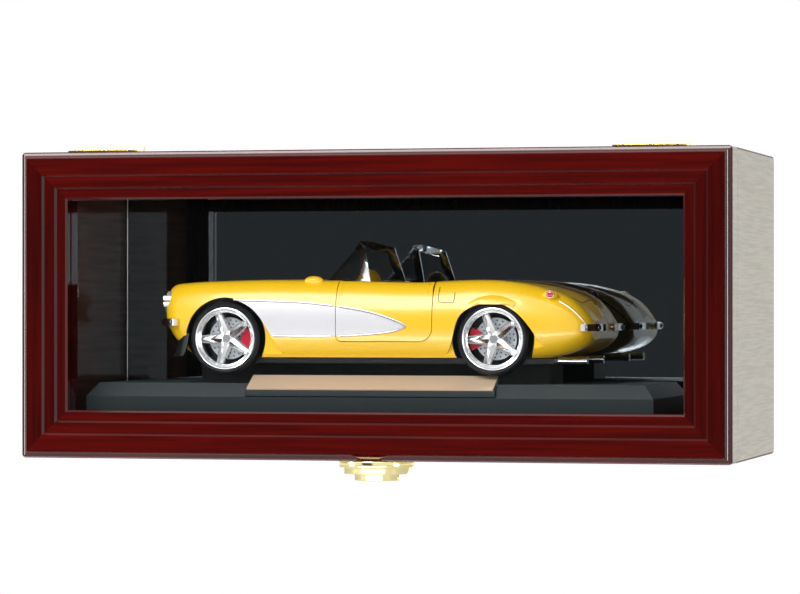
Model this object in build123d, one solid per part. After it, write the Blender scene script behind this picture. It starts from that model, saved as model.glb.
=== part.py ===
from build123d import *
from math import cos, radians, sin, sqrt

# Model car display case: a wall-hung cherry case with a glazed door that lifts up from the
# bottom, a dark mirror back, and a scale roadster standing on a two-tier plinth.
# X runs along the case, Y goes in towards the wall and Z is up, in millimetres.
# The origin is the middle of the back face, which lies on the wall.

# Case
CASE_W = 376.0
CASE_H = 160.0
CASE_D = 145.0
CASE_CORNER_R = 2.0
BOARD_T = 12.0
DOOR_T = 20.0
SEAM_GAP = 0.4
JOINT_FIT = 0.1
BACK_T = 6.0
BACK_REBATE = 5.0
MIRROR_T = 3.0
MIRROR_PLAY = 0.5

# Door frame moulding, measured from the outer edge inwards and from the front face back
RAIL_W = 25.0
BAND_W = 12.0
STEP_DROP = 1.4
STEP_COVE = 1.0
DOOR_ARRIS_R = 3.5
GLASS_SEAT = 8.0
GLASS_REBATE = 8.0
GLASS_T = 2.0
GLASS_PLAY = 0.5
BUMPER_R = 4.0
BUMPER_SEAT = 1.0

# Hinges on the top edge
HINGE_L = 38.0
HINGE_SPREAD = 290.0
HINGE_LEAF_W = 12.0
HINGE_LEAF_T = 0.9
HINGE_KNUCKLES = 3
KNUCKLE_R = 1.6
HINGE_PIN_R = 0.8
HINGE_RISE = 1.75
HINGE_FIT = 0.05
KNUCKLE_GAP = 0.15

# Round clasp under the seam: three tiers, split between the door and the case
CLASP_R = 19.5
CLASP_MID_R = 17.0
CLASP_BUTTON_R = 11.5
CLASP_TIER = 3.5
CLASP_FIT = 0.15
CLASP_WALL = 0.9
CLASP_CAVITY_R = 14.0
CLASP_LIP = 1.0
BUTTON_FLANGE_R = 13.4
BUTTON_TRAVEL = 1.3
HOOK_PIVOT = 6.0
HOOK_TAIL = 4.2
HOOK_BAR = 0.8
HOOK_W = 3.2
HOOK_LIP_T = 1.5
HOOK_BITE = 1.0
HOOK_PLAY = 0.3
HOOK_BARREL_R = 1.2
HOOK_PIN_R = 0.6
SPRING_R = 1.6
SPRING_WIRE = 0.5
SPRING_SPREAD = 17.0

# Keyhole plates let into the back
HANGER_SPREAD = 250.0
HANGER_Z = 50.0
HANGER_W = 16.0
HANGER_H = 40.0
HANGER_T = 1.5
HANGER_ENTRY_R = 4.5
HANGER_SLOT_R = 2.2
HANGER_SLOT_L = 11.0
HANGER_POCKET = 3.3

# Plinth
PLINTH_W = 304.0
PLINTH_DEPTH = 104.0
PLINTH_X = -8.0
PLINTH_FRONT = 25.0
PLINTH_LOWER_H = 20.0
PLINTH_H = 27.0
PLINTH_BEVEL = 5.5
RISER_W = 190.0
RISER_DEPTH = 34.0
PLATE_W = 132.0
PLATE_X = -5.5
PLATE_T = 0.8
NAME_BLOCK_RISE = 10.0
NAME_BLOCK_RUN = 12.7
NAME_BLOCK_TIP = 3.2
WOOD_SCREW_R = 1.6
WOOD_SCREW_HEAD_R = 3.0
WOOD_SCREW_HEAD_T = 2.0
WOOD_SCREW_L = 22.0
CAR_SCREW_R = 1.5

# Roadster, one eighteenth of full size; its nose points to -X
WHEELBASE = 144.0
FRONT_AXLE_X = -85.0
WHEEL_Z = -17.5
CAR_HALF_W = 49.5
TYRE_R = 18.8
TYRE_W = 11.0
TYRE_SHOULDER = 1.4
TYRE_BEAD = 0.6
RIM_R = 16.2
RIM_LIP = 1.3
RIM_DISH = 3.4
WHEEL_FACE = 47.5
SPOKES = 5
SPOKE_TIP = 1.7
SPOKE_VALLEY_R = 5.0
SPOKE_T = 2.0
SPOKE_TURN = 110.0
HUB_R = 4.0
HUB_CAP_R = 2.2
DISC_R = 11.0
DISC_T = 1.2
DISC_FACE = 38.5
AXLE_R = 1.6
AXLE_FIT = 0.05
AXLE_PRESS = 0.02
AXLE_END = 4.6
CALIPER_IN = 8.0
CALIPER_OUT = 13.6
CALIPER_SWEEP = 26.0
CALIPER_FACE = 41.0
CALIPER_GAP = 0.3
WELL_R = 21.5
WELL_DEPTH = 14.5
WING_GAP = 0.4
SILL_Z = -27.3
PAN_BOTTOM = -30.5
PAN_T = 2.7
PAN_X = (-98.0, 88.0)
PAN_HALF_W = 31.0
PAN_EAR = (24.0, 27.0)
PAN_EAR_HALF_L = 3.5
EXHAUST_OUT = 22.0
EXHAUST_R = 2.0
EXHAUST_BORE_R = 1.4
EXHAUST_END_X = 104.0
DOOR_SHUT_FRONT = -24.3
DOOR_SHUT_REAR = 27.2
DOOR_SHUT_LOW = -18.8
DOOR_FRONT_R = 3.0
DOOR_REAR_R = 7.0
DOOR_SKIN = 5.0
DOOR_DEPTH = 10.5
DOOR_STEP = 1.6
SHUT_GAP = 0.35
COVE_DEPTH = 1.3
COVE_PANEL_T = 0.6
COCKPIT_HALF_W = 38.0
COCKPIT_FRONT = -27.0
COCKPIT_REAR = 36.5
COCKPIT_FLOOR = -21.0
COCKPIT_CORNER_R = 9.0
TUB_WALL = 1.2
TUB_T = 1.5
TUB_FIT = 0.2
TUB_RIM = 10.8
DASH_DEPTH = 9.0
DASH_LOW = -1.0
DASH_END_X = -5.0
DASH_END_IN = 33.0
SEAT_W = 27.0
SEAT_OUT = 17.5
SEAT_FRONT = 0.0
SEAT_DEEP = 20.0
SEAT_CUSHION = 9.0
SEAT_BACK = 29.0
STEER_X = -8.0
STEER_Z = 6.0
STEER_R = 8.0
STEER_RIM = 1.3
STEER_TILT = 65
STEER_COLUMN_R = 0.9
STEER_COLUMN_L = 10.0
SCREEN_FOOT_X = -7.6
SCREEN_BASE_X = -44.0
SCREEN_TOP_CORNER_X = -13.9
SCREEN_TOP_X = -21.6
SCREEN_FOOT_HALF = 39.6
SCREEN_TOP_HALF = 31.8
SCREEN_BASE_Z = 10.0
SCREEN_TOP_Z = 34.0
SCREEN_CORNER_Z = 30.6
SCREEN_SILL_Z = 13.8
SCREEN_BAR = 2.0
SCREEN_T = 1.8
SCREEN_GLASS_T = 0.8
SCREEN_SEAT = 0.05
LAMP_R = 5.4
LAMP_OUT = 36.0
LAMP_Z = 2.0
LAMP_FRONT = -119.2
LAMP_BACK = -110.0
LAMP_DOME = 1.6
LAMP_FIT = 0.1
GRILLE_W = 44.0
GRILLE_H = 7.6
GRILLE_Z = -4.6
GRILLE_FRONT = -123.3
GRILLE_BACK = -118.5
GRILLE_RING = 1.0
GRILLE_TEETH = 11
GRILLE_TOOTH_W = 1.5
GRILLE_FIT = 0.1
BUMPER_T = 1.5
BUMPER_H = 3.6
BUMPER_IRON_R = 0.9
BUMPER_IRON_OUT = 27.0
BUMPER_IRON_L = 9.0

# Stations of the body from nose to tail: x, half width, wing crown, centre line, underside
STATIONS = (
    (-122.5, 30.0, 0.5, -0.5, -9.0),
    (-120.0, 38.0, 6.6, 4.6, -11.5),
    (-116.5, 43.0, 9.9, 7.6, -15.5),
    (-110.0, 46.0, 10.9, 9.4, -21.5),
    (-99.0, 48.0, 11.5, 10.8, -26.0),
    (-84.0, 49.0, 11.9, 11.7, -27.8),
    (-62.0, 49.4, 12.3, 12.3, -28.5),
    (-36.0, CAR_HALF_W, 12.0, 12.4, -28.5),
    (-8.0, CAR_HALF_W, 11.6, 12.0, -28.5),
    (20.0, CAR_HALF_W, 11.1, 11.7, -28.5),
    (42.0, CAR_HALF_W, 12.0, 11.6, -28.5),
    (58.0, CAR_HALF_W, 12.1, 11.4, -28.0),
    (74.0, 49.0, 10.3, 10.2, -27.0),
    (88.0, 47.6, 6.8, 7.4, -25.5),
    (98.5, 45.5, 2.2, 3.4, -23.2),
    (105.0, 42.5, -3.4, -1.6, -20.5),
    (109.0, 37.0, -8.4, -6.6, -17.4),
)

# Wheel openings seen from the side, as offsets from the wheel's centre, from rear to front
FRONT_ARCH = (
    (34, -11), (24.8, 2.5), (15.5, 15.1), (5.1, 20.2), (-6.2, 20.1), (-16.6, 13.2), (-22.3, 2.4), (-27.5, -7)
)
REAR_ARCH = (
    (33, -10.5), (25, -1.7), (15.1, 11.6), (5.2, 17.8), (-6.8, 17.8), (-16.7, 12.4), (-21.3, -0.9), (-27.5, -10.5)
)

# The scoop in the flank: its upper and lower edges in x and z, meeting at a point in the door
COVE_UPPER = ((-80.2, 2.7), (-62, 2.1), (-44.4, 1.5), (-24.4, -0.5), (-6.6, -3.4), (6.8, -7.5), (14, -10.9))
COVE_LOWER = ((14, -10.9), (8.5, -13.2), (-1.3, -14.8), (-20.1, -16.1), (-60.2, -16.2))

# Outer lines of the bumpers in x and distance from the middle, and the point they bend around
FRONT_BUMPER_LINE = ((-124.4, 23.4), (-123.3, 31), (-119.4, 42.6), (-111.5, 47.8))
FRONT_BUMPER_HEART = (-95, 18)
FRONT_BUMPER_Z = -9.0
REAR_BUMPER_LINE = ((112.6, 16), (112.2, 30), (110.6, 40), (105.0, 45.6))
REAR_BUMPER_HEART = (80, 18)
REAR_BUMPER_Z = -11.6

# Bumps that sit on the wings: x, distance out, height, and half sizes
TAIL_LAMP = (88.0, 42.0, 5.2, (4.4, 3.0, 2.6))
WING_MIRROR = (-38.5, -39.5, 12.6, (5.2, 2.8, 2.6))

# Places worked out from the sizes above
half_w = CASE_W / 2
half_h = CASE_H / 2
front_y = -CASE_D
seam_y = -(CASE_D - DOOR_T)
door_back = seam_y - SEAM_GAP
inner_w = half_w - BOARD_T
inner_h = half_h - BOARD_T
mirror_y = -BACK_T - MIRROR_T
floor_z = -inner_h
plinth_y0 = front_y + PLINTH_FRONT
plinth_top = floor_z + PLINTH_H
car_y = plinth_y0 + PLINTH_DEPTH / 2
rear_axle_x = FRONT_AXLE_X + WHEELBASE
car_plane = Plane(origin=(0, car_y, 0), x_dir=(0, 1, 0), z_dir=(1, 0, 0))


def block(x, y, z):
    """A box between pairs of low and high values."""
    size = Box(x[1] - x[0], y[1] - y[0], z[1] - z[0])
    return Pos((x[0] + x[1]) / 2, (y[0] + y[1]) / 2, (z[0] + z[1]) / 2) * size


def facing(side, points):
    """Turns points measured outwards from the car's middle line to the given side."""
    return [(x, car_y + side * y) for x, y in points]


def polygon(points):
    """A flat face through the points, closed."""
    return make_face(Polyline(*points, close=True))


def prism_x(points, x0, x1):
    """Extrudes an outline of (y, z) points along X."""
    return extrude(Plane.YZ.offset(x0) * polygon(points), amount=x1 - x0)


def face_prism_y(face, y0, y1):
    """Extrudes a face drawn in (x, z) along Y."""
    front = Plane(origin=(0, y0, 0), x_dir=(1, 0, 0), z_dir=(0, -1, 0))
    return extrude(front * face, amount=y0 - y1)


def prism_y(points, y0, y1):
    """Extrudes an outline of (x, z) points along Y."""
    return face_prism_y(polygon(points), y0, y1)


def prism_z(points, z0, z1):
    """Extrudes an outline of (x, y) points along Z."""
    return extrude(Plane.XY.offset(z0) * polygon(points), amount=z1 - z0)


def rod_x(r, x0, x1, y, z):
    """A round bar along X."""
    return Pos((x0 + x1) / 2, y, z) * Rot(0, 90, 0) * Cylinder(r, x1 - x0)


def rod_y(r, y0, y1, x, z):
    """A round bar along Y."""
    return Pos(x, (y0 + y1) / 2, z) * Rot(90, 0, 0) * Cylinder(r, y1 - y0)


def rod_z(r, z0, z1, x, y):
    """A round bar along Z."""
    return Pos(x, y, (z0 + z1) / 2) * Cylinder(r, z1 - z0)


def group(solids):
    """Several separate solids in one node."""
    return Compound(children=list(solids))


def mitre_wedge(side, width, y0, y1):
    """The share of the frame that one side takes between its two mitres."""
    a, b = half_w, half_h
    c, d = a - width, b - width
    outline = {
        "top": [(-a, b), (a, b), (c, d), (-c, d)],
        "bottom": [(-a, -b), (a, -b), (c, -d), (-c, -d)],
        "left": [(-a, -b), (-a, b), (-c, d), (-c, -d)],
        "right": [(a, -b), (a, b), (c, d), (c, -d)],
    }[side]
    return prism_y(outline, y0, y1)


# Case boards

def case_board(side):
    """A mitred board with rounded outer corners and a rebate for the back panel."""
    hull = face_prism_y(RectangleRounded(CASE_W, CASE_H, CASE_CORNER_R), seam_y, 0)
    rebate_w = inner_w + BACK_REBATE
    rebate_h = inner_h + BACK_REBATE
    rebate = block((-rebate_w, rebate_w), (-BACK_T, 0), (-rebate_h, rebate_h))
    board = (mitre_wedge(side, BOARD_T, seam_y, 0) & hull) - rebate
    if side == "bottom":
        board -= wood_screws(JOINT_FIT)
    return board


def hanger_face():
    """Keyhole plate outline: an entry hole with a narrow slot running up from it."""
    plate = RectangleRounded(HANGER_W, HANGER_H, 3)
    slot_top = HANGER_SLOT_L / 2
    entry = Pos(0, -slot_top) * Circle(HANGER_ENTRY_R)
    slot = Rectangle(2 * HANGER_SLOT_R, HANGER_SLOT_L) + Pos(0, slot_top) * Circle(HANGER_SLOT_R)
    return plate - entry - slot


def hanger_places():
    """Where the two keyhole plates sit."""
    return [(-HANGER_SPREAD / 2, HANGER_Z), (HANGER_SPREAD / 2, HANGER_Z)]


def wall_hangers():
    """Two keyhole plates, flush with the back face."""
    plates = []
    for x, z in hanger_places():
        plates.append(face_prism_y(Pos(x, z) * hanger_face(), -HANGER_T, 0))
    return group(plates)


def back_panel():
    """The panel in its rebate, recessed for the keyhole plates and for the wall screw heads."""
    w = inner_w + BACK_REBATE - JOINT_FIT
    h = inner_h + BACK_REBATE - JOINT_FIT
    panel = block((-w, w), (-BACK_T, 0), (-h, h))
    for x, z in hanger_places():
        seat = RectangleRounded(HANGER_W + 2 * JOINT_FIT, HANGER_H + 2 * JOINT_FIT, 3)
        panel -= face_prism_y(Pos(x, z) * seat, -HANGER_T, 0)
        pocket = SlotOverall(HANGER_SLOT_L + 2 * HANGER_ENTRY_R + 2, 2 * HANGER_ENTRY_R, rotation=90)
        panel -= face_prism_y(Pos(x, z) * pocket, -HANGER_T - HANGER_POCKET, 0)
    return panel


def back_mirror():
    """A dark mirror that fills the back between the boards."""
    w, h = inner_w - MIRROR_PLAY, inner_h - MIRROR_PLAY
    return block((-w, w), (mirror_y, -BACK_T), (-h, h))


# Door

def moulding_face():
    """Section of a door rail: x runs in from the outer edge, y runs back from the front."""
    step_w = (RAIL_W - BAND_W) / 2
    line = Polyline(
        (DOOR_ARRIS_R, 0),
        (BAND_W, 0),
        (BAND_W + STEP_COVE, STEP_DROP),
        (BAND_W + step_w, STEP_DROP),
        (BAND_W + step_w + STEP_COVE, 2 * STEP_DROP),
        (RAIL_W - STEP_COVE, 2 * STEP_DROP),
        (RAIL_W, 2 * STEP_DROP + STEP_COVE),
        (RAIL_W, GLASS_SEAT),
        (RAIL_W - GLASS_REBATE, GLASS_SEAT),
        (RAIL_W - GLASS_REBATE, DOOR_T - SEAM_GAP),
        (0, DOOR_T - SEAM_GAP),
        (0, DOOR_ARRIS_R),
    )
    arris = RadiusArc((0, DOOR_ARRIS_R), (DOOR_ARRIS_R, 0), DOOR_ARRIS_R)
    return make_face(line + arris)


def door_rail(side):
    """One moulded, mitred member of the door frame."""
    inwards = {"top": (0, 0, -1), "bottom": (0, 0, 1), "left": (1, 0, 0), "right": (-1, 0, 0)}[side]
    run = Vector(*inwards).cross(Vector(0, 1, 0))
    half_run = half_w if side in ("top", "bottom") else half_h
    half_across = half_h if side in ("top", "bottom") else half_w
    start = Vector(0, front_y, 0) - Vector(*inwards) * half_across - run * half_run
    section = Plane(origin=start, x_dir=inwards, z_dir=run) * moulding_face()
    hull = face_prism_y(RectangleRounded(CASE_W, CASE_H, CASE_CORNER_R), front_y, door_back)
    rail = extrude(section, amount=2 * half_run) & mitre_wedge(side, RAIL_W, front_y, door_back)
    rail = rail & hull
    if side in ("left", "right"):
        rail -= door_bumpers(JOINT_FIT)
    return rail


def glass_size():
    """Half width and half height of the pane in its rebate."""
    edge = RAIL_W - GLASS_REBATE + GLASS_PLAY
    return half_w - edge, half_h - edge


def door_glass():
    """The pane of the door."""
    w, h = glass_size()
    y0 = front_y + GLASS_SEAT
    return block((-w, w), (y0, y0 + GLASS_T), (-h, h))


def glass_stops():
    """Four beads that hold the pane from behind."""
    w, h = glass_size()
    width = GLASS_REBATE - GLASS_PLAY
    y = (front_y + GLASS_SEAT + GLASS_T, door_back)
    beads = []
    for side in (-1, 1):
        z = sorted((side * h, side * (h - width)))
        beads.append(block((-w, w), y, z))
        x = sorted((side * w, side * (w - width)))
        beads.append(block(x, y, (-h + width, h - width)))
    return group(beads)


def door_bumpers(grow=0.0):
    """Felt dots in the back of the stiles that meet the case."""
    x = half_w - (RAIL_W - GLASS_REBATE) / 2
    z = half_h - RAIL_W
    dots = []
    for across in (-x, x):
        for up in (-z, z):
            dots.append(rod_y(BUMPER_R + grow, door_back - BUMPER_SEAT, seam_y, across, up))
    return group(dots)


# Hinges

hinge_y = seam_y - SEAM_GAP / 2
hinge_z = half_h + HINGE_RISE


def knuckle_spans(first):
    """Every other knuckle along a hinge, from the first one counted."""
    pitch = HINGE_L / HINGE_KNUCKLES
    for i in range(first, HINGE_KNUCKLES, 2):
        low = -HINGE_L / 2 + i * pitch
        yield low + KNUCKLE_GAP / 2, low + pitch - KNUCKLE_GAP / 2


def hinge_centres():
    """Middle of each hinge along X."""
    return (-HINGE_SPREAD / 2, HINGE_SPREAD / 2)


def hinge_leaves(side):
    """Both leaves of one side, each with its own knuckles; side is 1 on the case."""
    own, other = (0, 1) if side == 1 else (1, 0)
    leaves = []
    for middle in hinge_centres():
        y = sorted((hinge_y + side * SEAM_GAP, hinge_y + side * HINGE_LEAF_W))
        leaf = block((middle - HINGE_L / 2, middle + HINGE_L / 2), y, (half_h, half_h + HINGE_LEAF_T))
        for low, high in knuckle_spans(other):
            reach = KNUCKLE_R + KNUCKLE_GAP
            span = (middle + low - KNUCKLE_GAP, middle + high + KNUCKLE_GAP)
            leaf -= block(span, (hinge_y - reach, hinge_y + reach), (half_h, hinge_z + reach))
        for low, high in knuckle_spans(own):
            leaf += rod_x(KNUCKLE_R, middle + low, middle + high, hinge_y, hinge_z)
        leaf -= rod_x(HINGE_PIN_R + HINGE_FIT, middle - HINGE_L, middle + HINGE_L, hinge_y, hinge_z)
        leaves.append(leaf)
    return group(leaves)


def hinge_pins():
    """A pin through the knuckles of each hinge."""
    half = HINGE_L / 2
    return group(rod_x(HINGE_PIN_R, x - half, x + half, hinge_y, hinge_z) for x in hinge_centres())


# Clasp

clasp_top = -half_h
case_face = seam_y + CLASP_FIT
door_face = door_back
lever_z = clasp_top - CLASP_TIER + 0.6
pivot_y = case_face + HOOK_PIVOT
button_top = clasp_top - CLASP_TIER - CLASP_TIER + 1.1
lip_z = lever_z + HOOK_BAR / 2 + HOOK_PLAY


def half_disc(r, z0, z1, side, face):
    """The half of a disc about the seam that lies beyond the given face."""
    disc = rod_z(r, z0, z1, 0, seam_y)
    y = sorted((face, face + side * 2 * r))
    return disc & block((-r, r), y, (min(z0, z1), max(z0, z1)))


def clasp_tiers(side, face, tiers):
    """Stacks the stepped half rounds that hang below the bottom edge."""
    body = None
    for i, r in enumerate(tiers):
        low = clasp_top - (i + 1) * CLASP_TIER
        tier = half_disc(r, low, clasp_top - i * CLASP_TIER, side, face)
        body = tier if body is None else body + tier
    return body


def clasp_case_half():
    """The fixed half, hollow for the button, its springs and the hook."""
    body = clasp_tiers(1, case_face, (CLASP_R, CLASP_MID_R))
    bottom = clasp_top - 2 * CLASP_TIER
    inner = case_face + CLASP_WALL
    body -= half_disc(CLASP_CAVITY_R, bottom + CLASP_LIP, clasp_top, 1, inner)
    body -= half_disc(CLASP_BUTTON_R + CLASP_FIT, bottom, clasp_top, 1, inner)
    for side in (-1, 1):
        x = sorted((side * (HOOK_W / 2 + 0.4), side * (HOOK_W / 2 + 1.8)))
        body += block(x, (case_face, pivot_y + 1.5), (lever_z - 1.4, clasp_top - CLASP_FIT))
    slot = HOOK_W / 2 + 0.4
    body -= block((-slot, slot), (case_face, inner), (bottom + CLASP_LIP, clasp_top))
    body -= rod_x(HOOK_PIN_R + HINGE_FIT, -CLASP_R, CLASP_R, pivot_y, lever_z)
    return body


def clasp_door_half():
    """The moving half, with a pocket and a lip that the hook bites behind."""
    body = clasp_tiers(-1, door_face, (CLASP_R, CLASP_MID_R, CLASP_BUTTON_R))
    bottom = clasp_top - 2 * CLASP_TIER + 0.3
    slot = HOOK_W / 2 + 0.6
    body -= block((-slot, slot), (door_face - 7, door_face - HOOK_LIP_T), (bottom, clasp_top))
    body -= block((-slot, slot), (door_face - HOOK_LIP_T, door_face), (bottom, lip_z))
    return body


def release_button():
    """The lowest tier of the case half: it is pressed up against its springs."""
    low = clasp_top - 3 * CLASP_TIER
    face = case_face + CLASP_WALL + CLASP_FIT
    body = half_disc(CLASP_BUTTON_R, low, button_top, 1, face)
    flange = half_disc(BUTTON_FLANGE_R, button_top, button_top + CLASP_LIP, 1, face)
    clear = HOOK_W / 2 + 2.1
    flange -= block((-clear, clear), (seam_y, pivot_y + 3), (button_top, clasp_top))
    groove = HOOK_W / 2 + 0.5
    body -= block((-groove, groove), (seam_y, pivot_y + 1), (button_top - 2, button_top))
    tail_y = pivot_y + HOOK_TAIL
    body += flange
    body += rod_z(0.8, button_top - 0.5, lever_z - 0.8, 0, tail_y)
    body += rod_z(0.45, button_top - 0.5, lever_z + 1.1, 0, tail_y)
    body += rod_z(0.9, lever_z + 0.8, lever_z + 1.3, 0, tail_y)
    return body


def clasp_hook():
    """A rocking lever: its nose bites up behind the door's lip, its tail rides on the button."""
    bar = (lever_z - HOOK_BAR / 2, lever_z + HOOK_BAR / 2)
    width = (-HOOK_W / 2, HOOK_W / 2)
    nose_back = door_face - HOOK_LIP_T - HOOK_PLAY
    nose_top = lip_z + HOOK_BITE
    body = block(width, (nose_back - 1.4, pivot_y + HOOK_TAIL + 1.6), bar)
    body += block(width, (nose_back - 1.4, nose_back), (bar[0], nose_top))
    body += rod_x(HOOK_BARREL_R, width[0], width[1], pivot_y, lever_z)
    body -= rod_x(HOOK_PIN_R + HINGE_FIT, -HOOK_W, HOOK_W, pivot_y, lever_z)
    body -= block((-0.65, 0.65), (pivot_y + HOOK_TAIL - 0.9, pivot_y + HOOK_TAIL + 2), bar)
    return body


def clasp_hook_pin():
    """The cross pin that the hook rocks on."""
    half = HOOK_W / 2 + 1.8
    return rod_x(HOOK_PIN_R, -half, half, pivot_y, lever_z)


def clasp_springs():
    """Two small springs between the button's flange and the board, drawn as plain tubes."""
    low = button_top + CLASP_LIP
    tubes = []
    for x in (-SPRING_SPREAD / 2, SPRING_SPREAD / 2):
        outer = rod_z(SPRING_R, low, clasp_top, x, pivot_y)
        tubes.append(outer - rod_z(SPRING_R - SPRING_WIRE, low, clasp_top, x, pivot_y))
    return group(tubes)


# Plinth

plinth_x0 = PLINTH_X - PLINTH_W / 2
plinth_x1 = PLINTH_X + PLINTH_W / 2
plinth_y1 = plinth_y0 + PLINTH_DEPTH


def wood_screws(grow=0.0):
    """Screws up through the bottom board into the plinth."""
    screws = []
    for x in (plinth_x0 + 30, plinth_x1 - 30):
        for y in (plinth_y0 + 22, plinth_y1 - 22):
            head = rod_z(WOOD_SCREW_HEAD_R + grow, -half_h, -half_h + WOOD_SCREW_HEAD_T, x, y)
            screws.append(head + rod_z(WOOD_SCREW_R + grow, -half_h, -half_h + WOOD_SCREW_L, x, y))
    return group(screws)


def car_screws(grow=0.0):
    """Two long screws through the plinth and riser into the chassis of the car."""
    screws = []
    for x in (-60, 40):
        head = rod_z(WOOD_SCREW_HEAD_R + grow, floor_z, floor_z + WOOD_SCREW_HEAD_T, x, car_y)
        screws.append(head + rod_z(CAR_SCREW_R + grow, floor_z, PAN_BOTTOM + PAN_T, x, car_y))
    return group(screws)


def plinth_base():
    """The dark plinth: upright sides below, a bevel above and a flat textured top."""
    mid = floor_z + PLINTH_LOWER_H
    lower = block((plinth_x0, plinth_x1), (plinth_y0, plinth_y1), (floor_z, mid))
    foot = Plane(origin=(PLINTH_X, car_y, mid)) * Rectangle(PLINTH_W, PLINTH_DEPTH)
    top_w, top_d = PLINTH_W - 2 * PLINTH_BEVEL, PLINTH_DEPTH - 2 * PLINTH_BEVEL
    head = Plane(origin=(PLINTH_X, car_y, plinth_top)) * Rectangle(top_w, top_d)
    body = lower + loft([foot, head], ruled=True)
    body -= name_plate(JOINT_FIT)
    return body - name_block(JOINT_FIT) - wood_screws(JOINT_FIT) - car_screws(JOINT_FIT)


def name_block(grow=0.0):
    """A wedge let into the front of the plinth that carries the sloped name plate."""
    half = PLATE_W / 2 + 1 + grow
    tip_z = plinth_top - NAME_BLOCK_TIP
    low = tip_z - NAME_BLOCK_TIP
    back = plinth_y0 + NAME_BLOCK_RUN
    outline = [
        (plinth_y0 - 0.5, low - grow),
        (back + 2 + grow, low - grow),
        (back + 2 + grow, tip_z + NAME_BLOCK_RISE - NAME_BLOCK_TIP),
        (back, tip_z + NAME_BLOCK_RISE - NAME_BLOCK_TIP),
        (plinth_y0 - 0.5, tip_z),
    ]
    return prism_x(outline, PLATE_X - half, PLATE_X + half)


def name_plate(grow=0.0):
    """The bare metal plate on the slope of the name block."""
    y0, z0 = plinth_y0 - 0.5, plinth_top - NAME_BLOCK_TIP
    y1, z1 = plinth_y0 + NAME_BLOCK_RUN, z0 + NAME_BLOCK_RISE - NAME_BLOCK_TIP
    length = sqrt((y1 - y0) ** 2 + (z1 - z0) ** 2)
    thick = PLATE_T + grow
    up_y, up_z = -(z1 - z0) / length * thick, (y1 - y0) / length * thick
    outline = [(y0, z0), (y1, z1), (y1 + up_y, z1 + up_z), (y0 + up_y, z0 + up_z)]
    half = PLATE_W / 2 + grow
    return prism_x(outline, PLATE_X - half, PLATE_X + half)


def plinth_riser():
    """The block that lifts the car so that its tyres hang clear of the plinth."""
    x = -12 - RISER_W / 2, -12 + RISER_W / 2
    y = car_y - RISER_DEPTH / 2, car_y + RISER_DEPTH / 2
    return block(x, y, (plinth_top, PAN_BOTTOM)) - car_screws(JOINT_FIT)


# Roadster body

def station_face(half, crown, centre, under):
    """Half-round wings, a dipped deck between them, flat flanks and a tucked underside."""
    shoulder = crown - 0.34 * (crown - under)
    flank = under + 0.28 * (crown - under)
    right = [
        (0.42 * half, centre - 0.25 * (centre - crown) - 0.8),
        (0.82 * half, crown),
        (0.985 * half, shoulder),
        (half, (shoulder + flank) / 2),
        (0.985 * half, flank),
        (0.88 * half, under + 0.5),
        (0.45 * half, under),
    ]
    left = [(-y, z) for y, z in reversed(right)]
    points = [(0, centre)] + right + [(0, under)] + left
    return make_face(Spline(*points, periodic=True))


def body_mass(drop):
    """The whole outer form of the car, before anything is cut from it, made narrower by a drop."""
    sections = []
    for x, half, *heights in STATIONS:
        sections.append(car_plane.offset(x) * station_face(half - drop, *heights))
    return loft(sections)


def between(side, near, far):
    """A span of Y from two distances out from the car's middle line."""
    return sorted((car_y + side * near, car_y + side * far))


def arch_outline(axle_x, arch):
    """The wheel opening seen from the side, swept back behind the wheel."""
    points = [(axle_x + x, WHEEL_Z + z) for x, z in arch]
    low = SILL_Z - 4
    skirt = Polyline(points[-1], (points[-1][0], low), (points[0][0], low), points[0])
    return make_face(Spline(*points) + skirt)


def wheel_room():
    """All that the wheels, axles and their bearings need cut away."""
    room = []
    for axle_x, arch in ((FRONT_AXLE_X, FRONT_ARCH), (rear_axle_x, REAR_ARCH)):
        for side in (-1, 1):
            y = between(side, WHEEL_FACE - WELL_DEPTH, WHEEL_FACE + WING_GAP)
            room.append(rod_y(WELL_R, y[0], y[1], axle_x, WHEEL_Z))
            y = between(side, WHEEL_FACE - 2, CAR_HALF_W + 4)
            room.append(face_prism_y(arch_outline(axle_x, arch), y[0], y[1]))
        half = WHEEL_FACE - WELL_DEPTH + 1
        tunnel = PAN_EAR_HALF_L + 1.5
        y = (car_y - half, car_y + half)
        room.append(block((axle_x - tunnel, axle_x + tunnel), y, (SILL_Z - 5, WHEEL_Z + 5)))
    return room


def cockpit_outline(shrink=0.0):
    """The open cockpit seen from above, with round ends."""
    x0, x1 = COCKPIT_FRONT + shrink, COCKPIT_REAR - shrink
    width = 2 * (COCKPIT_HALF_W - shrink)
    return Pos((x0 + x1) / 2, car_y) * RectangleRounded(x1 - x0, width, COCKPIT_CORNER_R - shrink)


def corner_arc(x, z, r, towards):
    """A quarter turn at the foot of a door; towards is -1 at its front corner."""
    middle = (x + towards * r * cos(radians(45)), z - r * sin(radians(45)))
    ends = ((x - r, z), (x, z - r)) if towards == -1 else ((x, z - r), (x + r, z))
    return ThreePointArc(ends[0], middle, ends[1])


def door_region(grow):
    """Outline of a car door seen from the side, with a larger radius at its rear foot."""
    x0, x1 = DOOR_SHUT_FRONT - grow, DOOR_SHUT_REAR + grow
    low, high = DOOR_SHUT_LOW - grow, SCREEN_TOP_Z
    front_r, rear_r = DOOR_FRONT_R + grow, DOOR_REAR_R + grow
    front = corner_arc(x0 + front_r, low + front_r, front_r, -1)
    rear = corner_arc(x1 - rear_r, low + rear_r, rear_r, 1)
    foot = Line(front @ 1, rear @ 0)
    rest = Polyline(rear @ 1, (x1, high), (x0, high), front @ 0)
    return make_face(Curve() + [front, foot, rear, rest])


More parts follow.
